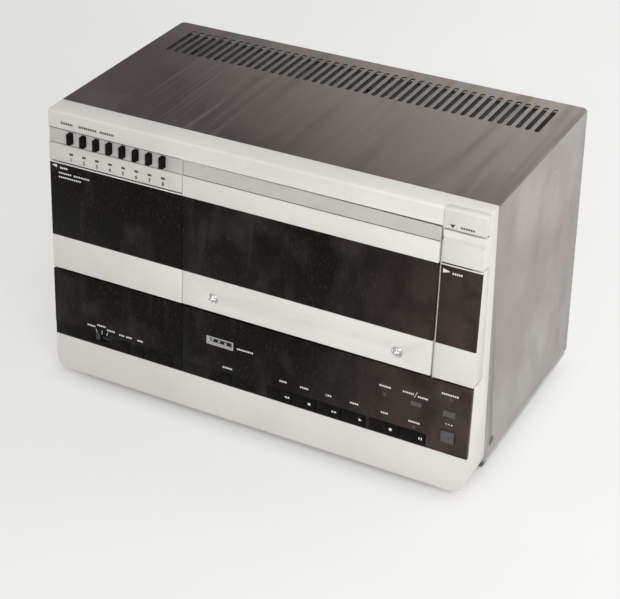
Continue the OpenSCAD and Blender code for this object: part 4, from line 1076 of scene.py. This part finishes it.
# %% Hatch of the strip
HATCH_PITCH = 1.25 * MM
HATCH_SLANT = math.radians(38)
HATCH_RADIUS = 0.3 * MM
HATCH_PROUD = 0.1 * MM
HATCH_SPARE = 1.4
HALF_KEY_GAP = 2.6 * MM
STRIP_TOP, STRIP_FOOT = 16.4 * MM, 28.4 * MM
CASE_MARGIN, GAP_MARGIN, LID_MARGIN = 0.3 * MM, 1.2 * MM, 0.8 * MM
LID_STRIP_TOP = STRIP_TOP + 0.4 * MM
STRIP_V = 22
LEFT_OF_KEYS, ON_LID = -189, 20


def cut(bm, place, outwards):
    """Cuts a closed mesh at a plane, takes away what lies outwards of it and closes the cut."""
    everything = bm.verts[:] + bm.edges[:] + bm.faces[:]
    parted = bmesh.ops.bisect_plane(bm, geom=everything, dist=1e-7, plane_co=place,
                                    plane_no=outwards, clear_outer=True)
    rims = [g for g in parted["geom_cut"] if isinstance(g, bmesh.types.BMEdge)]
    bmesh.ops.holes_fill(bm, edges=rims, sides=0)


def hatch(name, x0, x1, v0, v1, depth):
    """Slanted rods over a field of the front, cut to the field."""
    lean_out = (v1 - v0) * math.tan(HATCH_SLANT)
    mesh = grown(name, rod_row, strip_shaded_silver, {
        "Length": x1 - x0 + 2 * lean_out, "Pitch": HATCH_PITCH, "Rod Radius": HATCH_RADIUS,
        "Rod Length": (v1 - v0) / math.cos(HATCH_SLANT) * HATCH_SPARE,
        "Slant": HATCH_SLANT, "Sides": 6})
    first = round((x0 - lean_out) / HATCH_PITCH) * HATCH_PITCH
    mesh.transform(Matrix.Translation((first, depth + HATCH_RADIUS - HATCH_PROUD, -(v0 + v1) / 2)))
    bm = bmesh.new()
    bm.from_mesh(mesh)
    bmesh.ops.remove_doubles(bm, verts=bm.verts[:], dist=0.0005 * MM)
    for place, outwards in (((x0, 0, 0), (-1, 0, 0)), ((x1, 0, 0), (1, 0, 0)),
                            ((0, 0, -v0), (0, 0, 1)), ((0, 0, -v1), (0, 0, -1))):
        cut(bm, place, outwards)
    bm.transform(FACE)
    return as_mesh(name, bm)


sunk = depth_at("front_fascia", LEFT_OF_KEYS, STRIP_V)
edges = [-CASE_HALF + CASE_MARGIN]
for key_name in CHANNELS:
    x = FaceBox(key_name).x
    edges += [x - HALF_KEY_GAP, x + HALF_KEY_GAP]
edges.append(lid.x0 - GAP_MARGIN)
fields = [hatch("strip_hatch_part", a, b, STRIP_TOP, STRIP_FOOT, sunk)
          for a, b in zip(edges[0::2], edges[1::2])]
# the hatch rods share the strip's darker silver, which is painted shade
put("strip_hatch", joined("strip_hatch", fields), strip_shaded_silver, "case", smooth_angle=20)
lid_face = depth_at("cassette_lid", ON_LID, STRIP_V)
lid_field = hatch("lid_hatch", lid.x0 + LID_MARGIN, lid.x1 - LID_MARGIN, LID_STRIP_TOP, STRIP_FOOT,
                  lid_face)
put("lid_hatch", lid_field, strip_shaded_silver, "lid", smooth_angle=20)
print("strip sunk by", round(sunk / MM, 2), "mm; lid strip at", round(lid_face / MM, 2), "mm")
print("fields of hatch:", len(fields) + 1)

# %% Painted shade lines along the strip
# These dark lines are painted shade, for the shadow along the step at the top of the strip and the gap at its
# foot.
LINE_V = 28.85
long_lines = [bar(-193.3, -66.0, 15.3, 0.55), bar(-193.3, -66.0, LINE_V, 0.6)]
printed("strip_shade_lines", long_lines, "front_fascia", mark_black)
printed("lid_shade_line", [bar(-64.8, 157.4, LINE_V, 0.75)], "cassette_lid", mark_black)
print("strip lines at", LINE_V, "mm down")


# %% [markdown]
# Above each door the opening is a little taller than the door. A black strip under the edge of the
# opening is painted shade: it stands for the dark of the gap and shows as the dark line over the
# dark windows. The eject button's pocket ends below in a small sloping ledge, which catches the light.

# %% Painted shade strips and the eject ledge
# painted shade: black strips that stand for the dark gap above the doors
SHADE_STRIP_TALL, SHADE_STRIP_CLEAR = 1.0 * MM, 0.12 * MM
SHADE_STRIP_FRONT, SHADE_STRIP_BACK = 0.1 * MM, 2.6 * MM
SHADE_STRIP_ROUND = 0.1 * MM
SHADE_STRIP_SHORT_LEFT, SHADE_STRIP_SHORT_RIGHT = 0.4 * MM, 0.3 * MM
LEDGE_V, LEDGE_LEFT_GAP, LEDGE_RIGHT_GAP = 26.5 * MM, 0.2 * MM, 0.4 * MM
LEDGE_PROFILE = [(0.05, 0.2), (0.05, -0.3), (2.3, -2.2), (2.3, 0.2)]


def felt_strip(name, x0, x1, door):
    """A strip on the leaning face, right above a door, with rounded edges."""
    v0, v1 = door.v0 - SHADE_STRIP_TALL, door.v0 - SHADE_STRIP_CLEAR
    bm = bmesh.new()
    bmesh.ops.create_cube(bm, size=1.0)
    bm.transform(FACE @ Matrix.Translation(((x0 + x1) / 2, (SHADE_STRIP_FRONT + SHADE_STRIP_BACK) / 2, -(v0 + v1) / 2))
                 @ Matrix.Diagonal((x1 - x0, SHADE_STRIP_BACK - SHADE_STRIP_FRONT, v1 - v0, 1)))
    put(name, as_mesh(name, round_edges(bm, SHADE_STRIP_ROUND)), painted_shade_black, "case")


left_door, right_door = FaceBox("left_door"), FaceBox("right_door")
felt_strip("left_painted_shade", -CASE_HALF + HINGE_ROOM, left_door.x1 - SHADE_STRIP_SHORT_LEFT, left_door)
felt_strip("right_painted_shade", right_door.x0 + SHADE_STRIP_SHORT_RIGHT, CASE_HALF - HINGE_ROOM, right_door)

ledge = bmesh.new()
left_end, right_end = [
    [ledge.verts.new(FACE @ Vector((x, d * MM, -(LEDGE_V + v * MM)))) for d, v in LEDGE_PROFILE]
    for x in (right_door.x0 + LEDGE_LEFT_GAP, CASE_HALF - LEDGE_RIGHT_GAP)]
for i in range(4):
    j = (i + 1) % 4
    ledge.faces.new((left_end[i], left_end[j], right_end[j], right_end[i]))
ledge.faces.new(left_end[::-1])
ledge.faces.new(right_end)
put("eject_ledge", as_mesh("eject_ledge", ledge), silver_paint, "case")
# painted shade: a black plate at the open right end of the eject pocket, for the dark inside of the recess
printed("eject_pocket_shade", [bar(190.7, 192.6, 21.4, 6.0)], "front_fascia", inner_black)
print("painted shade strips and ledge made")

# %% [markdown]
# All the visible screws are one tree: a flat cone with a cross cut into it, set on points. The cross
# is two slim blocks, taken away from the head with a Mesh Boolean. The lid's bright screws sit in
# round recesses, so each also gets a turned ring.

# %% A tree for cross-head screws
HEAD_TAPER, CROSS_REACH = 0.72, 1.25
screw_heads, given, result = new_tree("screw_heads", [
    ("Radius", "Float", 0.004), ("Height", "Float", 0.0015), ("Slot", "Float", 0.0012),
    ("Depth", "Float", 0.001), ("Turn", "Float", 0.6)])
head = node(screw_heads, "GeometryNodeMeshCone", Vertices=28,
            Radius_Top=maths(screw_heads, "MULTIPLY", given["Radius"], HEAD_TAPER),
            Radius_Bottom=given["Radius"], Depth=given["Height"])
long_side = maths(screw_heads, "MULTIPLY", given["Radius"], CROSS_REACH)
deep_side = maths(screw_heads, "MULTIPLY", given["Depth"], 2.0)
slots = [node(screw_heads, "GeometryNodeMeshCube", Size=triple(screw_heads, *sizes))["Mesh"]
         for sizes in ((long_side, given["Slot"], deep_side), (given["Slot"], long_side, deep_side))]
cross = node(screw_heads, "GeometryNodeMeshBoolean", {"operation": "UNION", "solver": "EXACT"})
union_input = screw_heads.nodes[-1].inputs["Mesh 2"]
for one in slots:
    screw_heads.links.new(one, union_input)
lifted = node(screw_heads, "GeometryNodeTransform", Geometry=cross["Mesh"],
              Translation=triple(screw_heads, z=given["Height"]),
              Rotation=triple(screw_heads, z=given["Turn"]))
carved = node(screw_heads, "GeometryNodeMeshBoolean", {"operation": "DIFFERENCE", "solver": "EXACT"},
              Mesh_1=head["Mesh"], Mesh_2=lifted["Geometry"])
on_points = node(screw_heads, "GeometryNodeInstanceOnPoints", Points=given["Geometry"],
                 Instance=carved["Mesh"])
hand_over(screw_heads, on_points, given, result, flat=True)


# %% Turned rings, and the screws of the lid
def turned_ring(name, profile, steps=40):
    """A closed ring from a profile of (radius, height) in mm, turned about its own upright axis."""
    bm = bmesh.new()
    rings = []
    for i in range(steps):
        a = 2 * math.pi * i / steps
        rings.append([bm.verts.new((r * MM * math.cos(a), r * MM * math.sin(a), z * MM))
                      for r, z in profile])
    for i in range(steps):
        one, other = rings[i], rings[(i + 1) % steps]
        for k in range(len(profile)):
            n = (k + 1) % len(profile)
            bm.faces.new((one[k], one[n], other[n], other[k]))
    return as_mesh(name, bm)


def screw(name, material, radius, height, slot, depth, turn, points=((0, 0, 0),)):
    """Screw heads on points, their sizes in mm and the turn of the cross in radians."""
    return grown(name, screw_heads, material, {
        "Radius": radius * MM, "Height": height * MM, "Slot": slot * MM, "Depth": depth * MM,
        "Turn": turn}, points)


lid_screw = FaceBox("lid_screws")
LID_SCREW_R = (lid_screw.v1 - lid_screw.v0) / 2 / MM
LID_HEAD_SUNK = 0.9 * MM
CUP_PROFILE = [(0.995, 0.3), (0.97, 0.5), (0.88, 0.45), (0.72, -0.8), (0.02 / LID_SCREW_R, -0.9),
               (0.02 / LID_SCREW_R, -3.8), (0.9, -3.8), (0.99, -3.2)]
screw_x = (lid_screw.x0 + LID_SCREW_R * MM, lid_screw.x1 - LID_SCREW_R * MM)
screw_parts = []
for x in screw_x:
    seat = FACE @ Matrix.Translation((x, lid_screw.front, -lid_screw.v)) @ TO_FRONT
    heads = screw("lid_screw", bright_steel, LID_SCREW_R * 0.66, 0.7, 0.95, 0.6, 0.75)
    heads.transform(seat @ Matrix.Translation((0, 0, -LID_HEAD_SUNK)))
    cup = turned_ring("screw_cup", [(LID_SCREW_R * share, z) for share, z in CUP_PROFILE])
    cup.transform(seat)
    screw_parts += [heads, cup]
put("lid_screw_heads", joined("lid_screw_heads", screw_parts), bright_steel, "lid",
    ("lid_screws",), 25)
print("lid screws at", [round(x / MM, 1) for x in screw_x], "radius", round(LID_SCREW_R, 2))

# %% Screws at the sides
SIDE_HEAD_SUNK = 0.52 * MM
# painted shade: a flat dark ring for the shadow round the screw head
SHADE_RING_PROFILE = [(4.2, -0.08), (3.7, -0.03), (3.1, -0.14), (2.9, -0.35), (4.2, -0.35)]
side_screws = []
for side in (-1, 1):
    seat = beside(side) @ Matrix.Rotation(side * math.radians(90), 4, "Y")
    heads = screw("side_screw", dark_screw, 3.0, 0.5, 0.8, 0.45, 0.4)
    heads.transform(seat @ Matrix.Translation((0, 0, -SIDE_HEAD_SUNK)))
    shade_ring = turned_ring("screw_shade_ring", SHADE_RING_PROFILE)
    shade_ring.transform(seat)
    side_screws += [heads, shade_ring]
put("side_screw_heads", joined("side_screw_heads", side_screws), dark_screw, "case", (), 25)
print("side screws:", len(side_screws) // 2)

# %% [markdown]
# The tape counter has a light grey bezel around a small window with number wheels. Each wheel of the
# CAD model is a plain drum. The figures stand on the drums as thin raised plates, each turned about
# the axle by its own angle, and they ride on the wheels, so they turn with the tape.

# %% Counter bezel and figures
BEZEL_SIDE, BEZEL_TOP = 1.3 * MM, 1.1 * MM
BEZEL_FRONT, BEZEL_BACK = 0.08 * MM, 1.0 * MM
BEZEL_ROUND = 0.2 * MM
WHEELS, FIGURES_EACH = 4, 8
WHEEL_TURN, WHEEL_MARGIN = 0.08, 0.2 * MM
DIGIT_SIZE = 3.6 * MM
DIGIT_SUNK, DIGIT_DROP = 0.03 * MM, 0.36 * DIGIT_SIZE
counter = FaceBox("counter_frame")


def frame_mesh(name, outer, inner, d0, d1, width):
    """A rounded frame on the leaning face between an outer and an inner rectangle (x0, x1, v0, v1)."""
    bm = bmesh.new()
    loops = []
    for x0, x1, v0, v1 in (outer, inner):
        for d in (d0, d1):
            loops.append([bm.verts.new((x, d, -v)) for x, v in ((x0, v0), (x1, v0), (x1, v1), (x0, v1))])
    front_out, back_out, front_in, back_in = loops
    for i in range(4):
        j = (i + 1) % 4
        for a, b in ((front_out, back_out), (back_out, back_in), (back_in, front_in), (front_in, front_out)):
            bm.faces.new((a[i], a[j], b[j], b[i]))
    bmesh.ops.recalc_face_normals(bm, faces=bm.faces)
    round_edges(bm, width)
    bm.transform(FACE)
    return as_mesh(name, bm)


opening = (counter.x0 + BEZEL_SIDE, counter.x1 - BEZEL_SIDE, counter.v0 + BEZEL_TOP, counter.v1 - BEZEL_TOP)
bezel = frame_mesh("counter_bezel", (counter.x0, counter.x1, counter.v0, counter.v1), opening,
                   BEZEL_FRONT, BEZEL_BACK, BEZEL_ROUND)
put("counter_bezel", bezel, mark_grey, "case")
wheels = FaceBox("counter_wheels")
WHEEL_R = (wheels.v1 - wheels.v0) / 2
WHEEL_STEP = (wheels.x1 - wheels.x0 - 2 * WHEEL_MARGIN) / WHEELS
on_drum = Matrix.Translation((0, -WHEEL_R + DIGIT_SUNK, -DIGIT_DROP)) @ TO_FRONT
digits = []
for wheel in range(WHEELS):
    x = wheels.x0 + WHEEL_MARGIN + (wheel + 0.5) * WHEEL_STEP
    axis = FACE @ Matrix.Translation((x, wheels.front + WHEEL_R, -wheels.v))
    for number in range(FIGURES_EACH):
        turn = Matrix.Rotation(2 * math.pi * number / FIGURES_EACH + WHEEL_TURN * wheel, 4, "X")
        digits.append(figure(str((number + 3 * wheel) % 10), DIGIT_SIZE, axis @ turn @ on_drum))
put("counter_figures", joined("counter_figures", digits), mark_white, body_of("counter_wheels"))
print("counter wheels:", WHEELS, "radius", round(WHEEL_R / MM, 1))

# %% [markdown]
# The three small buttons on the right are ribbed, to be found with a finger, and so is the little
# switch. Rods laid across their faces make the ribs, from the same tree as the hatch.

# %% Ribs of the small buttons
RIB_INSET = 0.5 * MM
RIBS = {"timer_button": ("timer_button_ribs", 1.0, 0.22), "output_button": ("output_button_ribs", 1.15, 0.22),
        "speed_button": ("speed_button_ribs", 0.9, 0.22), "mode_switch": ("mode_ribs", 0.9, 0.2)}
for node_name, (piece_name, pitch_mm, radius_mm) in RIBS.items():
    face = FaceBox(node_name)
    pitch = pitch_mm * MM
    mesh = grown(piece_name, rod_row, rib_grey, {
        "Length": (face.v1 - face.v0) - 2 * RIB_INSET, "Pitch": pitch, "Rod Radius": radius_mm * MM,
        "Rod Length": (face.x1 - face.x0) - 2 * RIB_INSET, "Slant": 0.0, "Sides": 8})
    mesh.transform(SIDEWAYS)
    mesh.transform(FACE @ Matrix.Translation((face.x, face.front, -face.v0 - RIB_INSET - pitch / 2)))
    put(piece_name, mesh, rib_grey, body_of(node_name))
print("ribbed buttons:", len(RIBS))

# %% [markdown]
# Behind the doors sit a tuning knob and a tracking knob. A knob is gripped by its edge, so the edge
# is knurled: one ridge, repeated around a circle by a tree. A ring of ticks on the wall behind shows
# how far the knob is turned.

# %% A tree for a ring of blocks
block_ring, given, result = new_tree("block_ring", [
    ("Count", "Int", 40), ("Radius", "Float", 0.01), ("Wide", "Float", 0.0005), ("Deep", "Float", 0.001),
    ("Long", "Float", 0.007)])
ring = node(block_ring, "GeometryNodeMeshCircle", Vertices=given["Count"], Radius=given["Radius"])
block = node(block_ring, "GeometryNodeMeshCube",
             Size=triple(block_ring, given["Deep"], given["Wide"], given["Long"]))
corner = node(block_ring, "GeometryNodeInputPosition")
outwards_turn = node(block_ring, "FunctionNodeAlignRotationToVector", {"axis": "X"},
                     Vector=corner["Position"])
blocks = node(block_ring, "GeometryNodeInstanceOnPoints", Points=ring["Mesh"], Instance=block["Mesh"],
              Rotation=outwards_turn["Rotation"])
hand_over(block_ring, blocks, given, result)

# %% Knurled knobs and their ticks
KNOB_H = 7.5
SHAFT_R = 3
TICKS = 24
TICK_STAND = 0.25 * MM
AXLE = 0.01
for knob, ridges in (("tuning_knob", 48), ("tracking_knob", 36)):
    low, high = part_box(knob)
    r = (high.x - low.x) / 2
    r_mm = r / MM
    middle = Matrix.Translation(((low.x + high.x) / 2, low.y, (low.z + high.z) / 2)) @ TO_FRONT
    cap = turned_ring(knob + "_cap", [
        (AXLE, -0.5), (r_mm * 0.62, -0.5), (r_mm * 0.68, 0.0), (r_mm * 0.86, 0.0), (r_mm * 0.93, -0.5),
        (r_mm * 0.95, -1.2), (r_mm * 0.95, -KNOB_H), (AXLE, -KNOB_H)], 56)
    grip = grown(knob + "_grip", block_ring, key_black, {
        "Count": ridges, "Radius": r * 0.955, "Wide": r * 0.07, "Deep": r * 0.085,
        "Long": (KNOB_H - 1.6) * MM})
    grip.transform(Matrix.Translation((0, 0, (-KNOB_H / 2 - 0.5) * MM)))
    foot = (low.y - high.y) / MM
    shaft = turned_ring(knob + "_shaft", [(AXLE, -KNOB_H + 0.1), (SHAFT_R, -KNOB_H + 0.1),
                                          (SHAFT_R, foot), (AXLE, foot)], 24)
    bm = bmesh.new()
    bmesh.ops.create_cube(bm, size=1)
    bm.transform(Matrix.Translation((0, r * 0.76, 0.0)) @ Matrix.Diagonal((r * 0.09, r * 0.3, 0.3 * MM, 1)))
    round_edges(bm, 0.08 * MM, 1)
    for vertex in bm.verts:
        vertex.co.z = min(vertex.co.z, 0.0)
    pointer = as_mesh(knob + "_pointer", bm)
    for mesh in (cap, grip, shaft, pointer):
        mesh.transform(middle)
    body = body_of(knob)
    put(knob + "_turned", joined(knob + "_turned", [cap, grip, shaft]), key_black, body,
        (knob,), 28)
    put(knob + "_pointer", pointer, mark_white, body)
    ticks = grown(knob + "_ticks", block_ring, mark_black, {
        "Count": TICKS, "Radius": r * 1.25, "Wide": 0.35 * MM, "Deep": 1.6 * MM, "Long": 0.16 * MM})
    ticks.transform(Matrix.Translation((0, KNOB_H * MM + TICK_STAND, 0)) @ middle)
    put(knob + "_ticks", ticks, mark_black, "case")
    print(knob, "radius", round(r_mm, 1), "with", ridges, "ridges")

# %% [markdown]
# On the back each socket is a threaded sleeve with a white insulator and a centre contact. The mains
# inlet holds two pins. Screws hold the sheet, and rows of pressed louvres let the warm air out. The
# photograph doesn't show the back, so these follow what such a panel has.

# %% Sockets
REAR_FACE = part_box("rear_panel")[1].y
FROM_BEHIND = Matrix.Rotation(math.radians(-90), 4, "X")
SOCKET_PLACES = [(x, 150) for x in (-160, -136, -112)] + [(x, 60) for x in (-160, -136, -112, -88)]
THREAD = [(3.75, 3.6), (3.98, 3.2), (3.75, 2.8), (3.98, 2.4), (3.75, 2.0), (3.98, 1.6)]
SOCKET_PARTS = {
    "collar": ([(3.0, 0.05), (3.0, 4.4), (3.9, 4.4), (3.95, 4.0), *THREAD, (3.9, 1.2), (5.6, 1.15),
                (5.75, 0.9), (5.75, 0.05)], 32, bright_steel, "steel"),
    "core": ([(0.9, 0.1), (0.9, 2.6), (2.5, 2.9), (2.85, 2.6), (2.85, 0.1)], 28, mark_white, "grey_key"),
    "contact": ([(0.45, 0.1), (0.45, 2.9), (0.8, 2.9), (0.85, 0.1)], 16, bright_steel, "steel"),
}
for part, (profile, steps, paint, slot_name) in SOCKET_PARTS.items():
    turned = []
    for x, z in SOCKET_PLACES:
        mesh = turned_ring("socket_" + part, profile, steps)
        mesh.transform(Matrix.Translation((x * MM, REAR_FACE, z * MM)) @ FROM_BEHIND)
        turned.append(mesh)
    piece_name = f"socket_{part}s"
    put(piece_name, joined(piece_name, turned), paint, "case", smooth_angle=25)
print("sockets:", len(SOCKET_PLACES))

# %% Pins of the inlet, rear screws and louvres
INLET_X, INLET_DEEP, INLET_Z = 150 * MM, 19 * MM, 44 * MM
PIN_ASIDE = 3.3 * MM
PIN_PROFILE = [(0.02, 0.0), (1.15, 0.0), (1.18, 9.5), (0.9, 10.6), (0.4, 11.0), (0.02, 11.05)]
REAR_SCREW_X, REAR_SCREW_INSET = (-176, 0, 176), 20
LOUVRE_PITCH, LOUVRES, LOUVRE_LENGTH = 9, 7, 52
LOUVRE_PLACES, LOUVRE_Z = (-40, 30), 150
pins = []
for side in (-1, 1):
    pin = turned_ring("inlet_pin", PIN_PROFILE, 24)
    pin.transform(Matrix.Translation((INLET_X + side * PIN_ASIDE, REAR_FACE - INLET_DEEP, INLET_Z))
                  @ FROM_BEHIND)
    pins.append(pin)
put("inlet_pins", joined("inlet_pins", pins), bright_steel, "case", smooth_angle=25)
low_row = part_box("rear_panel")[0].z / MM + REAR_SCREW_INSET
high_row = CASE_TOP / MM - REAR_SCREW_INSET
rear_points = [(x * MM, -z * MM, 0.0) for x in REAR_SCREW_X for z in (low_row, high_row)]
rear_heads = screw("rear_screw_heads", dark_screw, 2.9, 1.5, 0.9, 0.8, 0.5, rear_points)
rear_heads.transform(Matrix.Translation((0, REAR_FACE + 0.05 * MM, 0)) @ FROM_BEHIND)
put("rear_screw_heads", rear_heads, dark_screw, "case", (), 25)
louvres = []
for x0 in LOUVRE_PLACES:
    row = grown("louvre_row", rod_row, zinc_plate, {
        "Length": LOUVRES * LOUVRE_PITCH * MM, "Pitch": LOUVRE_PITCH * MM,
        "Rod Length": LOUVRE_LENGTH * MM, "Rod Radius": 1.5 * MM, "Slant": 0.0, "Sides": 16})
    row.transform(Matrix.Translation((x0 * MM, REAR_FACE - 0.2 * MM, LOUVRE_Z * MM)) @ SIDEWAYS
                  @ Matrix.Translation((-LOUVRES * LOUVRE_PITCH / 2 * MM, 0, 0)))
    louvres.append(row)
put("rear_louvres", joined("rear_louvres", louvres), zinc_plate, "case")
print("louvres:", len(louvres), "columns of", LOUVRES)

# %% [markdown]
# Inside, seen through the slots and behind the open doors and lid, is the tape deck. Turned parts get
# their grooves, steps and hubs from profiles spun about their own axis: the upper drum with its fine
# grooves, the reels and the flywheel.

# %% Drum, reels and flywheel
def spun_on_face(name, place, profile, steps=56):
    """A profile of (radius, depth) in mm, spun about the axis of a FaceBox."""
    mesh = turned_ring(name, [(r, -d) for r, d in profile], steps)
    mesh.transform(FACE @ Matrix.Translation((place.x, 0, -place.v)) @ TO_FRONT)
    return mesh


drum = FaceBox("upper_drum")
drum_r, f = (drum.x1 - drum.x0) / 2 / MM, drum.front / MM
grooves = []
for i in range(4):
    d = f + 2.2 + 2.6 * i
    grooves += [(drum_r, d), (drum_r - 0.35, d + 0.25), (drum_r - 0.35, d + 0.7), (drum_r, d + 0.95)]
drum_profile = [(0.02, f + 2.0), (5.0, f + 2.0), (5.2, f + 0.05), (9.0, f + 0.05), (9.3, f + 1.1),
                (drum_r - 4.0, f + 1.1), (drum_r - 3.6, f + 0.05), (drum_r - 0.5, f + 0.05),
                (drum_r, f + 0.6), *grooves, (drum_r, f + 13.9), (drum_r - 0.4, f + 14.3),
                (0.02, f + 14.3)]
put("drum_shell", spun_on_face("drum_shell", drum, drum_profile, 72), drum_alloy,
    body_of("upper_drum"), ("upper_drum",), 20)
print("drum radius", round(drum_r, 1), "front", round(f, 1))

TEETH, TEETH_R, TEETH_DEPTH = 60, 19.95 * MM, 16.3
RIM_PROFILE = [(4.2, 13.1), (7.0, 12.9), (7.4, 10.7), (9.8, 10.7), (10.2, 13.1), (18.0, 13.1),
               (18.4, 13.6), (19.5, 13.6), (19.9, 14.0), (19.9, 18.6), (19.4, 19.0), (4.2, 19.0)]
NOSE_PROFILE = [(0.02, 0.02), (1.6, 0.2), (3.0, 1.2), (3.6, 2.4), (3.6, 13.4), (0.02, 13.4)]
for reel in ("supply_reel", "takeup_reel"):
    face = FaceBox(reel)
    f = face.front / MM
    rim = spun_on_face(reel + "_rim", face, [(r, f + d) for r, d in RIM_PROFILE])
    teeth = grown(reel + "_teeth", block_ring, inner_black, {
        "Count": TEETH, "Radius": TEETH_R, "Wide": 0.9 * MM, "Deep": 0.7 * MM, "Long": 3.4 * MM})
    teeth.transform(FACE @ Matrix.Translation((face.x, (f + TEETH_DEPTH) * MM, -face.v)) @ TO_FRONT)
    put(reel + "_disc", joined(reel + "_disc", [rim, teeth]), inner_black, body_of(reel),
        smooth_angle=25)
    nose = spun_on_face(reel + "_nose", face, [(r, f + d) for r, d in NOSE_PROFILE], 32)
    put(reel + "_nose", nose, mark_white, body_of(reel), smooth_angle=40)
    print(reel, "front", round(f, 1))

FLYWHEEL_PROFILE = [(10.0, -5.8), (12.0, -6.1), (22.0, -6.1), (24.0, -5.8), (25.9, -5.2), (25.9, -0.3),
                    (25.5, 0.0), (10.0, 0.0)]
wheel = FaceBox("capstan")
flywheel = spun_on_face("flywheel_rim", wheel, [(r, wheel.back / MM + d) for r, d in FLYWHEEL_PROFILE])
put("flywheel_rim", flywheel, bright_steel, body_of("capstan"), smooth_angle=25)
print("flywheel done")

# %% [markdown]
# A circuit board of the time carries many small parts: resistors lying flat, and between them round
# upright capacitors and low square chips. Scattered points from a grid, a fixed seed and a few low
# shapes give it. The larger blocks stay from the CAD model.

# %% A tree for scattered board parts
BOARD_GRID = (26, 12)
SCATTER = Vector((0.0022, 0.0022, 0))
board_parts, given, result = new_tree("board_parts", [
    ("Wide", "Float", 0.2), ("Long", "Float", 0.1), ("Radius", "Float", 0.0015), ("Height", "Float", 0.007),
    ("Sides", "Int", 10), ("Share", "Float", 0.5), ("Lying", "Float", 1.5708), ("Seed", "Int", 3)])
field = node(board_parts, "GeometryNodeMeshGrid", Size_X=given["Wide"], Size_Y=given["Long"],
             Vertices_X=BOARD_GRID[0], Vertices_Y=BOARD_GRID[1])
jitter = node(board_parts, "FunctionNodeRandomValue", {"data_type": "FLOAT_VECTOR"},
              Seed=given["Seed"], _0=-SCATTER, _1=SCATTER)
loose = node(board_parts, "GeometryNodeSetPosition", Geometry=field["Mesh"], Offset=jitter[0])
chance = node(board_parts, "FunctionNodeRandomValue", {"data_type": "FLOAT"}, Seed=given["Seed"])
picked = node(board_parts, "FunctionNodeCompare", {"data_type": "FLOAT", "operation": "LESS_THAN"},
              _0=chance[1], _1=given["Share"])
quarter = node(board_parts, "FunctionNodeRandomValue", {"data_type": "INT"}, Seed=given["Seed"], _4=0, _5=1)
spin = maths(board_parts, "MULTIPLY", quarter[2], math.pi / 2)
can = node(board_parts, "GeometryNodeMeshCylinder", Vertices=given["Sides"], Radius=given["Radius"],
           Depth=given["Height"])
laid = node(board_parts, "GeometryNodeTransform", Geometry=can["Mesh"],
            Rotation=triple(board_parts, y=given["Lying"]))
set_down = node(board_parts, "GeometryNodeInstanceOnPoints", Points=loose["Geometry"],
                Selection=picked[0], Instance=laid["Geometry"], Rotation=triple(board_parts, z=spin))
hand_over(board_parts, set_down, given, result)

# %% Parts of the board
BOARD_TOP, BOARD_BORDER_X, BOARD_BORDER_Y = 9.6 * MM, 16 * MM, 14 * MM
PARTS_SUNK = 0.1 * MM
BOARD_RECIPES = {
    "board_resistors": (1.1 * MM, 6.2 * MM, math.pi / 2, 0.34, 3, 10, resistor_tan),
    "board_cans": (2.3 * MM, 8.0 * MM, 0.0, 0.1, 11, 10, core_steel),
    "board_chips": (2.2 * MM, 2.6 * MM, 0.0, 0.12, 23, 4, inner_black),
}
low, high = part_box("main_board")
board_top = low.z + BOARD_TOP
for name, (radius, height, lying, share, seed, sides, paint) in BOARD_RECIPES.items():
    mesh = grown(name, board_parts, paint, {
        "Wide": high.x - low.x - BOARD_BORDER_X, "Long": high.y - low.y - BOARD_BORDER_Y,
        "Radius": radius, "Height": height, "Lying": lying, "Share": share, "Seed": seed, "Sides": sides})
    raised = radius if lying else height / 2
    mesh.transform(Matrix.Translation(((low.x + high.x) / 2, (low.y + high.y) / 2,
                                       board_top + raised - PARTS_SUNK)))
    put(name, mesh, paint, "case", smooth_angle=40)
print("board parts at height", round(board_top / MM, 1))

# %% Plates of the transformer
PLATE_INSET_X, PLATE_INSET_Y, PLATE_LESS_X, PLATE_LESS_Z = 8 * MM, 10.2 * MM, 14 * MM, 4 * MM
PLATE_PITCH, PLATE_R = 1.6 * MM, 0.7 * MM
low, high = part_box("transformer")
row = grown("transformer_plates", rod_row, core_steel, {
    "Length": high.x - low.x - PLATE_LESS_X, "Pitch": PLATE_PITCH,
    "Rod Length": high.z - low.z - PLATE_LESS_Z, "Rod Radius": PLATE_R, "Slant": 0.0, "Sides": 6})
rows = []
for y in (low.y + PLATE_INSET_Y, high.y - PLATE_INSET_Y):
    copy = row.copy()
    copy.transform(Matrix.Translation((low.x + PLATE_INSET_X, y, (low.z + high.z) / 2)))
    rows.append(copy)
put("transformer_plates", joined("transformer_plates", rows), core_steel, "case", smooth_angle=25)
print("transformer plates:", len(rows), "rows")
